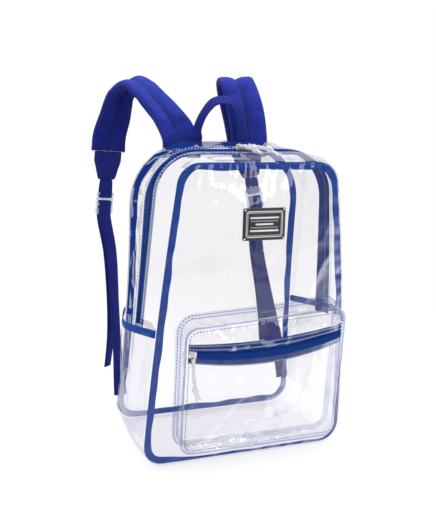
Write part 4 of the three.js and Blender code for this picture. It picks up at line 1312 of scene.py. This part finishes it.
def badge_slab(wide, high, radius, low, top, x=0, y=0, soft=0.4):
    levels = [(low, 0), (top - soft, 0), (top - soft * 0.3, soft * 0.3), (top, soft)]
    rows = []
    for stand, inset in levels:
        outline = rounded_outline(wide - 2 * inset, high - 2 * inset, max(radius - inset, 0.1))
        rows.append([on_badge(x + a, y + b, stand) for a, b in outline])
    return grid(rows, tube=True, capped=True)


def badge_frame(wide, high, radius, line, low, top):
    rings = []
    for inset, stand in ((0, low), (0, top), (line, top), (line, low)):
        outline = rounded_outline(wide - 2 * inset, high - 2 * inset, max(radius - inset, 0.2))
        rings.append([on_badge(a, b, stand) for a, b in outline])
    return grid(rings, tube=True, ring=True)


plate = badge_slab(badge_wide, badge_high, 2.5, 0, badge_thick)
make("badge_plate", plate, BADGE_RUBBER, ["badge"])
sunk = badge_thick - 0.2
marks = [badge_frame(55, 36, 4, 1.2, sunk, badge_thick + 0.55)]
for up, wide in ((0.2, 1), (0, 0.62), (-0.2, 1)):
    bar_up = up * badge_high
    marks.append(badge_slab(43 * wide, 2.4, 1.1, sunk, badge_thick + 0.5, 0, bar_up, 0.2))
for x, y in ((-1, -1), (-1, 1), (1, -1), (1, 1)):
    marks.append(badge_slab(2.6, 2.6, 1.25, sunk, badge_thick + 0.7, x * 29, y * 19.6, 0.3))
marks.append(badge_frame(50.5, 31.5, 2.5, 0.6, sunk, badge_thick + 0.35))
for row in (-0.1, 0.1):
    for x in spread(-19, 19, 12):
        marks.append(badge_slab(1.5, 1.5, 0.3, sunk, badge_thick + 0.4, x, row * badge_high, 0.2))
make("badge_marks", together(marks), SILVER_PAINT)
tell("badge_plate", "badge_marks")

# %% [markdown]
# ## Shoulder straps
# Each strap is two layers of plain woven cloth over foam, sewn down the middle and along both
# edges, so it swells into two long pads with small puckers at the seams. The layers are lofted
# along the strap's route, and then a cloth simulation with air pressure swells them while the
# seams are held, which makes puckers that no formula gives.

# %% Strap cloth
STRAP_CLOTH = tape_finish("strap_cloth", (0.012, 0.024, 0.24), (0.034, 0.053, 0.44), 0.0008, 0.8)
# The underside is the same weave in a darker colour: painted shade, not a separate lining.
STRAP_UNDERSIDE_SHADE = tape_finish("strap_underside_painted_shade", (0.004, 0.010, 0.15), (0.013, 0.025, 0.27), 0.0008, 0.8)
WEBBING = tape_finish("webbing", (0.008, 0.013, 0.14), (0.020, 0.030, 0.28), 0.0018, 0.85)
STRAP_THREAD = thread_finish("strap_thread", (0.004, 0.007, 0.07))

strap_wide, strap_thick, strap_seam_thick = 57, 12, 5
strap_reach, strap_rise = 72, 88
strap_rows = {
    "left": [
        (-0.364, 0.12, -0.3, 0, 0, 0),
        (-0.37, 0.16, 0.02, 3, 4, 0.35),
        (-0.487, 0.26, 0.38, 18, 32, 1),
        (-0.595, 0.42, 0.62, 19, 46, 1),
        (-0.68, 0.6, 0.785, 15, 47, 1),
        (-0.775, 0.82, 0.88, 7, 46, 1),
        (-0.84, 0.99, 0.66, -3, 34, 1),
        (-0.893, 1.03, 0.26, -6, 22, 1),
        (-0.943, 1.02, -0.06, -3, 16, 1),
        (-0.953, 1.0, -0.3, -1, 12, 0.1),
    ],
    "right": [
        (0.364, 0.12, -0.3, 0, 0, 0),
        (0.358, 0.16, 0.02, -2, -6, 0.35),
        (0.325, 0.26, 0.45, -4, -10, 1),
        (0.295, 0.4, 0.74, -2, -6, 1),
        (0.28, 0.58, 0.93, 1, 0, 1),
        (0.295, 0.8, 0.95, 3, -6, 1),
        (0.35, 0.99, 0.76, 3, -12, 1),
        (0.445, 1.03, 0.26, 8, -12, 1),
        (0.52, 1.0, -0.3, 7, -10, 0.1),
    ],
}

# %% [markdown]
# ## Flat things that bend and twist
# A strap bends along its route and twists as well, so each point needs a place and the
# direction of its width. Both are blended smoothly from row to row, and the width is kept
# square to the route. Straps, webbings and the haul loop are all built on such frames.

# %% Routes with a width at every point
def frames_along(points, widths, spacing, extras=None):
    """Frames of (point, width, depth, way, extra) along a smooth line."""
    frames = []
    stops = [0.0]
    for index, (a, b) in enumerate(zip(points, points[1:])):
        count = max(1, math.ceil((b - a).length / spacing))
        stops += [index + (i + 1) / count for i in range(count)]
    for t in stops:
        ahead = line_point(points, min(t + 0.01, len(points) - 1))
        way = (ahead - line_point(points, max(t - 0.01, 0))).normalized()
        wide = line_point(widths, t)
        wide = (wide - way * wide.dot(way)).normalized()
        row = min(int(t), len(points) - 2)
        extra = lerp(extras[row], extras[row + 1], t - row) if extras else 0
        frames.append((line_point(points, t), wide, way.cross(wide), way, extra))
    return frames


def strap_frames(name, spacing):
    points, widths, pads = [], [], []
    for sideways, back, up, lean, turn, pad in strap_rows[name]:
        y, z = back_face + back * strap_reach, body_height + up * strap_rise
        points.append(Vector((sideways * half_width, y, z)))
        wide = Vector((1, 0, 0))
        wide.rotate(Quaternion((0, 1, 0), -math.radians(lean)))
        wide.rotate(Quaternion((0, 0, 1), math.radians(turn)))
        widths.append(wide)
        pads.append(pad)
    return frames_along(points, widths, spacing, pads)

# %% [markdown]
# ## The padded straps
# Two layers of cloth are lofted with the foam's thickness between them, the underside in a
# darker copy of the cloth: painted shade. The cloth solver then blows them up gently while
# edges, middle seam and ends are held. The result is copied into the mesh, so no modifier has
# to be solved again.

# %% The padded straps
strap_profile = [1, 0.97, 0.9, 0.78, 0.62, 0.46, 0.32, 0.2, 0.1, 0.0]
strap_full = [0.12, 0.5, 0.78, 0.96, 1.0, 0.98, 0.9, 0.72, 0.46, 0.12]


def padded_strap(name):
    frames = strap_frames(name, 3.2)
    rows, held = [], []
    shares = list(zip(strap_profile, strap_full))
    ends = (0, 1, len(frames) - 1, len(frames) - 2)
    over = shares + [(-a, f) for a, f in reversed(shares[:-1])]
    for row_index, (point, wide, deep, way, pad) in enumerate(frames):
        thick = lerp(strap_seam_thick, strap_thick, ease(pad)) / 2
        fullness = min(thick, strap_thick / 2)
        row = []
        for sign in (1, -1):
            section = over if sign > 0 else list(reversed(over))
            for a, f in section:
                row.append(point + wide * (a * strap_wide / 2) + deep * (sign * f * fullness * 0.86))
                sewn = abs(a) > 0.95 or abs(a) < 0.05 or row_index in ends
                held.append(1.0 if sewn else 0.0)
        rows.append(row)
    shape = grid(rows, tube=True, capped=True)
    strap = make(f"strap_pad_{name}", shape, STRAP_CLOTH, [f"shoulder_strap_{name}"])
    # The underside faces take the darker copy of the cloth, which is painted shade.
    strap.data.materials.append(STRAP_UNDERSIDE_SHADE)
    under = len(over)
    for face in strap.data.polygons:
        if len(face.vertices) == 3 or all(index % (2 * under) < under for index in face.vertices):
            face.material_index = 1
    swell(strap, held)
    return frames


def swell(piece, held, furthest=3.0):
    """Air pressure and a little spare cloth swell the piece between its held seams."""
    group = piece.vertex_groups.new(name="sewn")
    for index in range(len(piece.data.vertices)):
        weight = held[index] if index < len(held) else 1.0
        group.add([index], weight, "REPLACE")
    before = [vertex.co.copy() for vertex in piece.data.vertices]
    cloth = piece.modifiers.new("swell", "CLOTH")
    settings = cloth.settings
    settings.vertex_group_mass = "sewn"
    settings.use_pressure = True
    settings.uniform_pressure_force = 1.8
    settings.shrink_min = -0.03
    settings.effector_weights.gravity = 0
    settings.quality = 6
    cloth.collision_settings.use_collision = False
    cloth.collision_settings.use_self_collision = False
    scene = bpy.context.scene
    for step in range(1, 19):
        scene.frame_set(step)
    solved = piece.evaluated_get(bpy.context.evaluated_depsgraph_get()).data
    moved = [vertex.co.copy() for vertex in solved.vertices]
    piece.modifiers.remove(cloth)
    most = 0.0
    for vertex, start, end in zip(piece.data.vertices, before, moved):
        step = end - start
        if step.length > furthest * MM:
            step = step.normalized() * furthest * MM
        most = max(most, step.length)
        vertex.co = start + step
    piece.vertex_groups.clear()
    scene.frame_set(1)
    print(f"{piece.name} swelled by up to {most / MM:.1f} mm")


strap_routes = {name: padded_strap(name) for name in strap_rows}

# %% [markdown]
# ## Seams on the straps
# Dark thread runs along both edges and down the middle of each pad, on the outer cloth and on
# the underside. The middle row is wider, so that its dark line also paints the shade in the
# crease where the two padded halves are drawn together.

# %% Strap edges and seams
def strap_seams(name):
    frames = strap_frames(name, 4)
    middle, lines = [], []
    for sideways in (0.0, 0.93, -0.93):
        for sign in (1, -1):
            line = []
            for point, wide, deep, way, pad in frames:
                thick = lerp(strap_seam_thick, strap_thick, ease(pad)) / 2
                stand = (0.12 if sideways == 0 else 0.62) * thick * 0.86 + 0.25
                at = point + wide * sideways * strap_wide / 2 + deep * sign * stand
                line.append((at, deep * sign))
            (lines if sideways else middle).append(line)
    # The wider middle row is dark thread and also painted shade for the crease between the pads.
    return together([stitches(lines, 4.0, 3.6, 1.2), stitches(middle, 4.0, 3.7, 1.8)])


for name in strap_rows:
    make(f"strap_stitches_{name}", strap_seams(name), STRAP_THREAD)

# %% [markdown]
# ## Patches, webbing and adjusters
# A tapered patch closes each pad and holds a short webbing, which loops round the top bar of a
# small milky plastic ladder lock. A second webbing climbs from the foot of the bag, turns over
# the lock's lower bar and hangs free. Webbing keeps its width, so it is lofted as a flat band.

# %% Flat bands
webbing_wide, webbing_thick = 20, 1.8


def band(frames):
    rows = []
    w, h = webbing_wide / 2, webbing_thick / 2
    section = [(1, 0), (0.96, 0.8), (0.5, 1), (0, 1), (-0.5, 1), (-0.96, 0.8)]
    section += [(-1, 0), (-0.96, -0.8), (-0.5, -1), (0, -1), (0.5, -1), (0.96, -0.8)]
    for frame in frames:
        point, side, deep = frame[:3]
        rows.append([point + side * a * w + deep * b * h for a, b in section])
    return grid(rows, tube=True, capped=True)


def place_on_end(frames):
    """Turns (across, down, rear) at the strap's end into a point."""
    point, wide, _, way, _ = frames[-1]
    rear = wide.cross(way)
    return lambda x, down, rear_by: point + wide * x + way * down + rear * rear_by


adjuster_wide, adjuster_high, adjuster_thick = 28, 33, 4
patch_long, adjuster_drop = 42, 20
adjuster_top = gap + patch_long + adjuster_drop
webbing_stand = adjuster_thick / 2 + gap + webbing_thick / 2
lower_bar = adjuster_top + 4 + 4.5 + 3 + 4.5
ride = gap + webbing_thick / 2


def quarter_turn(edge, way):
    stops = [k * math.pi / 2 for k in (0, 0.25, 0.5, 0.75, 1)]
    flank = -adjuster_thick / 2
    turned_points = [(edge + way * ride * math.sin(t), flank - ride * math.cos(t)) for t in stops]
    return [(edge - way * 2, flank - ride), *turned_points]

# %% [markdown]
# ## Patches
# A patch is a doubled piece of webbing cloth, narrower where it holds the webbing. It is placed
# in the frame at the strap's end, so it turns with the strap. A box with a cross in it is the
# usual way to sew a thing that carries weight.

# %% Patches
def patch(local):
    rows = []
    for down in spread(0, 1, 14):
        wide = lerp(45, 27, clamp((down - 0.35) / 0.65))
        thick = 2.5 * (0.45 if down in (0, 1) else 1)
        row = []
        for sign in (1, -1):
            section = [1, 0.96, 0.6, 0.2, -0.2, -0.6, -0.96, -1]
            for a in section if sign > 0 else reversed(section[1:-1]):
                soft = 0.1 if abs(a) == 1 else (0.7 if abs(a) > 0.9 else 1)
                puff = 1 + 0.35 * ripple(a * 20, down * 40, 0, 11, 21)
                puff += 0.6 * crease(a * 20, down * 30, sign, 16, 22, 4)
                row.append(local(a * wide / 2, gap + down * patch_long, sign * thick * soft * puff))
        rows.append(row)
    return grid(rows, tube=True, capped=True)


def patch_stitches(local):
    corners = [(-17, 4), (17, 4), (11.5, 38), (-11.5, 38)]
    runs = [corners + corners[:1], [corners[0], corners[2]], [corners[1], corners[3]]]
    lines = []
    for sign in (1, -1):
        out = local(0, 0, sign) - local(0, 0, 0)
        for run in runs:
            lines.append([(local(x, down, sign * 2.7), out) for x, down in run])
    return stitches(lines, 2.9, 2.1, 0.6)

# %% [markdown]
# ## Ladder locks
# The lock is a small moulded frame with slots that grip the webbing. True scattering inside the
# plastic would be slow to render, so the finish mixes clear and solid plastic, which looks
# alike at this size. Rails and bars are rounded blocks, a little smaller at their ends.

# %% Ladder locks
def adjuster_finish():
    finish, tree = start_finish("milky_plastic")
    place = put(tree, "TexCoord").outputs["Object"]
    cloud = put(tree, "TexNoise", {"Vector": place, "Scale": 120, "Detail": 2}).outputs["Fac"]
    bump = put(tree, "Bump", {"Height": cloud, "Strength": 0.1, "Distance": 0.0003})
    solid = put(
        tree,
        "BsdfPrincipled",
        {
            "Base Color": blend_colour(tree, cloud, (0.72, 0.76, 0.84), (0.9, 0.92, 0.96)),
            "Roughness": 0.22,
            "Normal": bump.outputs[0],
        },
    )
    clear = put(tree, "BsdfTransparent", {"Color": (0.9, 0.93, 0.98, 1)})
    mixed = put(tree, "MixShader", {0: 0.4, 1: clear.outputs[0], 2: solid.outputs[0]})
    put(tree, "OutputMaterial", {"Surface": mixed.outputs[0]})
    return finish


MILKY_PLASTIC = adjuster_finish()


def ladder_lock(local):
    """Two rails and four bars, rounded, with the bars a little thinner than the rails."""
    parts = []
    rail_x = (adjuster_wide / 2 + 11.25) / 2
    rail = adjuster_wide / 2 - 11.25

    def rounded_bar(start, end, wide, thick):
        rows = []
        length = (end - start).length
        way = (end - start).normalized()
        rear_way = (local(0, 0, 1) - local(0, 0, 0)).normalized()
        across_way = way.cross(rear_way).normalized()
        for k, fat in ((0, 0.7), (0.6 / length, 1), (1 - 0.6 / length, 1), (1, 0.7)):
            centre = start.lerp(end, k)
            ring = []
            for x, y in rounded_outline(wide * fat, thick * fat, min(wide, thick) * 0.3, 2):
                ring.append(centre + across_way * x + rear_way * y)
            rows.append(ring)
        return grid(rows, tube=True, capped=True)

    for side in (-1, 1):
        start = local(side * rail_x, adjuster_top + 0.5, 0)
        end = local(side * rail_x, adjuster_top + adjuster_high - 0.5, 0)
        parts.append(rounded_bar(start, end, rail, adjuster_thick))
    down = adjuster_top
    for bar, slot in ((4, 4.5), (3, 4.5), (4, 4), (5, 0)):
        height = bar if bar < 5 else adjuster_top + adjuster_high - down
        middle = down + height / 2
        start, end = local(-12.5, middle, 0), local(12.5, middle, 0)
        parts.append(rounded_bar(start, end, height, adjuster_thick * 0.92))
        down += bar + slot
    return together(parts)

# %% [markdown]
# ## Webbings
# One webbing goes from the patch round the lock's top bar and back. The other climbs from the
# foot of the bag, turns round the lower bar and ends in a free tail. Each row below gives a
# point as shares across, back and up, and the turn of its width in degrees.

# %% Webbings
webbing_foot_height, webbing_foot_across = 40, 0.9
climbs = {
    "left": [
        (0.905, 0.04, 0.06, 8),
        (0.905, 0.2, 0.18, 30),
        (0.9, 0.38, 0.3, 38),
        (0.9, 0.6, 0.5, 36),
        (0.915, 0.83, 0.78, 26),
    ],
    "right": [
        (0.89, 0.04, 0.06, -4),
        (0.87, 0.2, 0.18, -12),
        (0.84, 0.38, 0.3, -20),
        (0.77, 0.6, 0.5, -20),
        (0.68, 0.83, 0.78, -16),
    ],
}
tails = {
    "left": [
        (0.93, 0.98, 0.78, 26),
        (0.915, 0.78, 0.5, 36),
        (0.93, 0.62, 0.3, 40),
        (0.965, 0.55, 0.12, 46),
    ],
    "right": [
        (0.69, 0.98, 0.78, -14),
        (0.76, 0.8, 0.5, -18),
        (0.8, 0.68, 0.3, -24),
        (0.82, 0.62, 0.12, -28),
    ],
}


def upper_webbing(local):
    start = 2 * gap + patch_long
    pinch = (webbing_thick + gap) / 2
    front = [
        (start, -pinch),
        (lerp(start, adjuster_top, 0.5), -lerp(pinch, webbing_stand, 0.7)),
        (adjuster_top, -webbing_stand),
        *quarter_turn(adjuster_top + 6, 1),
    ]
    route = front + [(down, -out) for down, out in reversed(front)]
    points = [local(0, down, rear) for down, rear in route]
    wide = local(1, 0, 0) - local(0, 0, 0)
    return band(frames_along(points, [wide] * len(points), 3))


def lower_webbing(name, side, local):
    below = adjuster_top + adjuster_high
    front = local(0, below, -webbing_stand)

    def place(sideways, back, up):
        x = side * sideways * half_width
        height = lerp(webbing_foot_height, front.z, up)
        return Vector((x, back_face + ride + back * strap_reach, height))

    def turn_of(row):
        angle = math.radians(row[3])
        return Vector((math.cos(angle), math.sin(angle), 0))

    bend = quarter_turn(lower_bar - 2, -1)
    foot_x = webbing_foot_across * half_width
    wide = local(1, 0, 0) - local(0, 0, 0)
    foot_y = back_skin(foot_x, webbing_foot_height) + ride
    points = [Vector((side * foot_x, foot_y, webbing_foot_height))]
    points += [place(*row[:3]) for row in climbs[name]]
    points += [front, *[local(0, down, rear) for down, rear in bend]]
    points += [local(0, down, -rear) for down, rear in reversed(bend)]
    points += [local(0, below, webbing_stand), *[place(*row[:3]) for row in tails[name]]]
    widths = [Vector((1, 0, 0)), *[turn_of(row) for row in climbs[name]]]
    widths += [wide] * (2 + 2 * len(bend))
    widths += [turn_of(row) for row in tails[name]]
    return frames_along(points, widths, 4)


for name, side in (("left", -1), ("right", 1)):
    local = place_on_end(strap_routes[name])
    make(f"patch_{name}", patch(local), WEBBING, [f"strap_patch_{name}"])
    make(f"patch_stitches_{name}", patch_stitches(local), STRAP_THREAD)
    make(f"upper_webbing_{name}", upper_webbing(local), WEBBING, [f"strap_webbing_{name}"])
    lock = ladder_lock(local)
    make(f"ladder_lock_{name}", lock, MILKY_PLASTIC, [f"strap_adjuster_{name}"])
    webbing_frames = lower_webbing(name, side, local)
    climbing = band(webbing_frames)
    make(f"climbing_webbing_{name}", climbing, WEBBING, [f"lower_webbing_{name}"])
    tell(f"patch_{name}", f"upper_webbing_{name}", f"ladder_lock_{name}", f"climbing_webbing_{name}")

# %% [markdown]
# ## Haul loop
# The loop is a length of the same webbing, sewn to the back panel at both ends with half a
# twist, so that it stands up and turns its edge to the hand at the top.

# %% Haul loop
haul_span, haul_rise, haul_centre = 76, 60, 2
haul_rows = [
    (-0.5, -0.44, 0, 0, 0),
    (-0.5, -0.05, 0, 0, 4),
    (-0.47, 0.3, -2, 12, 76),
    (-0.37, 0.66, -5, 36, 78),
    (-0.19, 0.94, -7, 66, 68),
    (0, 1, -8, 90, 60),
    (0.19, 0.94, -7, 114, 52),
    (0.37, 0.66, -5, 144, 32),
    (0.47, 0.3, -2, 168, 14),
    (0.5, -0.05, 0, 180, 2),
    (0.5, -0.44, 0, 180, 0),
]
haul_points, haul_widths = [], []
for span, up, back, turn, tilt in haul_rows:
    x = haul_centre + span * haul_span
    y = back_face + back_swell + ride + back
    haul_points.append(Vector((x, y, body_height + up * haul_rise)))
    wide = Vector((1, 0, 0))
    wide.rotate(Quaternion((0, 0, 1), -math.radians(tilt)))
    wide.rotate(Quaternion((0, 1, 0), math.radians(turn)))
    haul_widths.append(wide)
haul_band = band(frames_along(haul_points, haul_widths, 3))
make("haul_webbing", haul_band, WEBBING, ["haul_loop"])
tell("haul_webbing")

# %% [markdown]
# ## Zip sliders
# A slider is a small cast metal shell over the coil, with a bridge on top that holds a ring.
# Its rounded block, bridge and ring are built in its own frame: along the zip, across it and out.

# %% Sliders
def slider(at, run, out):
    along = run.normalized()
    sideways = out.cross(along).normalized()
    out = along.cross(sideways)

    def place(x, y, z):
        return at + along * x + sideways * y + out * z

    def block(long, wide, low, high, radius):
        rows = []
        levels = [(low, 0.25), (low + 0.25, 0), (high - 0.45, 0), (high - 0.12, 0.2), (high, 0.6)]
        for z, inset in levels:
            outline = rounded_outline(long - 2 * inset, wide - 2 * inset, max(radius - inset, 0.2))
            rows.append([place(a, b, z) for a, b in outline])
        return grid(rows, tube=True, capped=True)

    parts = [block(11, 9.5, 1.35, 2.9, 3.2)]
    rail_line = ((-5, 1.7), (-5.1, 0.4), (0, 0.2), (5.1, 0.4), (5, 1.7))
    for side in (-1, 1):
        rail = [place(x, side * 4.35, z) for x, z in rail_line]
        parts.append(tube(smooth_line(rail, 1), 0.42, 6))
    bridge = [place(x, 0, z) for x, z in ((-4, 2.6), (-3.4, 4.0), (0, 4.7), (3.4, 4.0), (4, 2.6))]
    parts.append(tube(smooth_line(bridge, 0.6), 0.85, 8))
    ring = []
    for i in range(28):
        a = 2 * math.pi * i / 28
        ring.append(place(2.3 * math.cos(a), 0.6 * math.sin(a), 4.35 + 2.3 * math.sin(a)))
    parts.append(tube(ring, 0.8, 8, closed=True))
    return together(parts)


slider_share = -1 + (11 / 2 + 1.8) / pocket_half
before_point = pocket_face_point(slider_share - 0.08, pocket_zip_height)
after_point = pocket_face_point(slider_share + 0.08, pocket_zip_height)
shapes = {
    "pocket": (after_point - before_point, Vector((0, -1, 0)), "pocket_slider"),
    "left": (Vector((1, 0, 0)), Vector((0, 0, 1)), "main_slider_left"),
    "right": (Vector((-1, 0, 0)), Vector((0, 0, 1)), "main_slider_right"),
}
for name, (run, out, node_name) in shapes.items():
    shape = slider(slider_places[name], run, out)
    make(f"cast_slider_{name}", shape, SLIDER_METAL, [node_name])

# %% [markdown]
# ## Floor and studio light
# The bag stands on a plain pale floor that runs out to a white surround. Clear vinyl shows best
# when the room in front of it is a soft grey and a few large white panels stand in it: the grey
# gives the sheets a tone, and the panels draw the highlights along every crease.

# %% Floor
def floor_finish():
    """Matt and pale, greyer out in front, and glowing white further back under the lit surround."""
    finish, tree = start_finish("pale_floor")
    place = put(tree, "TexCoord").outputs["Object"]
    cloud = put(tree, "TexNoise", {"Vector": place, "Scale": 3, "Detail": 2}).outputs["Fac"]
    toward = put(tree, "VectorMath", {0: place, 1: (0.4, 0.92, 0)}, operation="DOT_PRODUCT")
    ahead = toward.outputs["Value"]
    pale = put(
        tree,
        "MapRange",
        {"Value": ahead, "From Min": -1.5, "From Max": -0.36, "To Min": 0.0, "To Max": 0.97},
        interpolation_type="SMOOTHSTEP",
    ).outputs[0]
    mottled = put(tree, "Math", {0: cloud, 1: 0.03, 2: pale}, operation="MULTIPLY_ADD").outputs[0]
    matt = put(
        tree,
        "BsdfPrincipled",
        {
            "Base Color": blend_colour(tree, mottled, (0.50, 0.50, 0.50), (0.93, 0.93, 0.93)),
            "Roughness": 0.8,
            "Specular IOR Level": 0.1,
        },
    )
    glow = put(tree, "Emission", {"Color": (1, 1, 1, 1), "Strength": 1.0})
    share = put(
        tree,
        "MapRange",
        {"Value": ahead, "From Min": -0.95, "From Max": 0.9, "To Min": 0.0, "To Max": 1.0},
        interpolation_type="SMOOTHSTEP",
    ).outputs[0]
    mixed = put(tree, "MixShader", {0: share, 1: matt.outputs[0], 2: glow.outputs[0]})
    put(tree, "OutputMaterial", {"Surface": mixed.outputs[0]})
    return finish


floor_mesh = bpy.data.meshes.new("floor")
reach = 30.0
corners = [(-reach, -reach, 0), (reach, -reach, 0), (reach, reach, 0), (-reach, reach, 0)]
floor_mesh.from_pydata(corners, [], [(0, 1, 2, 3)])
floor_mesh.materials.append(floor_finish())
floor = bpy.data.objects.new("floor", floor_mesh)
floor.location.z = -0.0006
bpy.context.scene.collection.objects.link(floor)

# %% [markdown]
# ## Surround and lights
# The surround is white behind the bag, bright above it and soft grey in front, so that the
# clear sheets have something to mirror. Five area lights stand for large white panels: a key,
# two narrow strips, a fill from the right and one overhead.

# %% Surround and soft panels of light
world = bpy.data.worlds.new("studio")
world.use_nodes = True
room = world.node_tree
room.nodes.clear()
heading = put(room, "TexCoord").outputs["Generated"]
parted = put(room, "SeparateXYZ", {"Vector": heading})


def tone_over(axis, low, high, dark, light):
    return put(
        room,
        "MapRange",
        {
            "Value": parted.outputs[axis],
            "From Min": low,
            "From Max": high,
            "To Min": dark,
            "To Max": light,
        },
        interpolation_type="SMOOTHSTEP",
    ).outputs[0]


behind = tone_over("Y", -0.2, 0.4, 0.0, 1.0)
overhead = tone_over("Z", 0.45, 0.85, 0.0, 1.25)
in_front = tone_over("Z", 0.0, 0.4, 0.34, 0.13)
bright = put(room, "Math", {0: behind, 1: overhead}, operation="MAXIMUM").outputs[0]
tone = put(room, "Math", {0: bright, 1: in_front}, operation="MAXIMUM")
sky = put(room, "Background", {"Color": tone.outputs[0]})
put(room, "OutputWorld", {"Surface": sky.outputs[0]})
bpy.context.scene.world = world


def soft_panel(name, place, aim, wide, high, power):
    light = bpy.data.lights.new(name, "AREA")
    light.shape = "RECTANGLE"
    light.size, light.size_y = wide, high
    light.energy = power
    holder = bpy.data.objects.new(name, light)
    holder.location = place
    holder.rotation_euler = (Vector(aim) - Vector(place)).to_track_quat("-Z", "Y").to_euler()
    bpy.context.scene.collection.objects.link(holder)
    return holder


soft_panel("key_panel", (-1.9, -1.5, 1.9), (0, 0, 0.25), 1.1, 1.6, 16)
soft_panel("front_strip", (0.95, -2.2, 0.95), (0, 0, 0.2), 0.3, 1.4, 9)
soft_panel("left_strip", (-1.7, -1.9, 0.75), (0, 0, 0.2), 0.3, 1.5, 3)
soft_panel("fill_panel", (2.0, -0.6, 1.3), (0, 0, 0.25), 0.7, 1.5, 14)
soft_panel("top_panel", (0.1, 0.5, 2.4), (0, 0, 0.3), 1.8, 1.1, 34)
bpy.context.scene.view_settings.view_transform = "Standard"
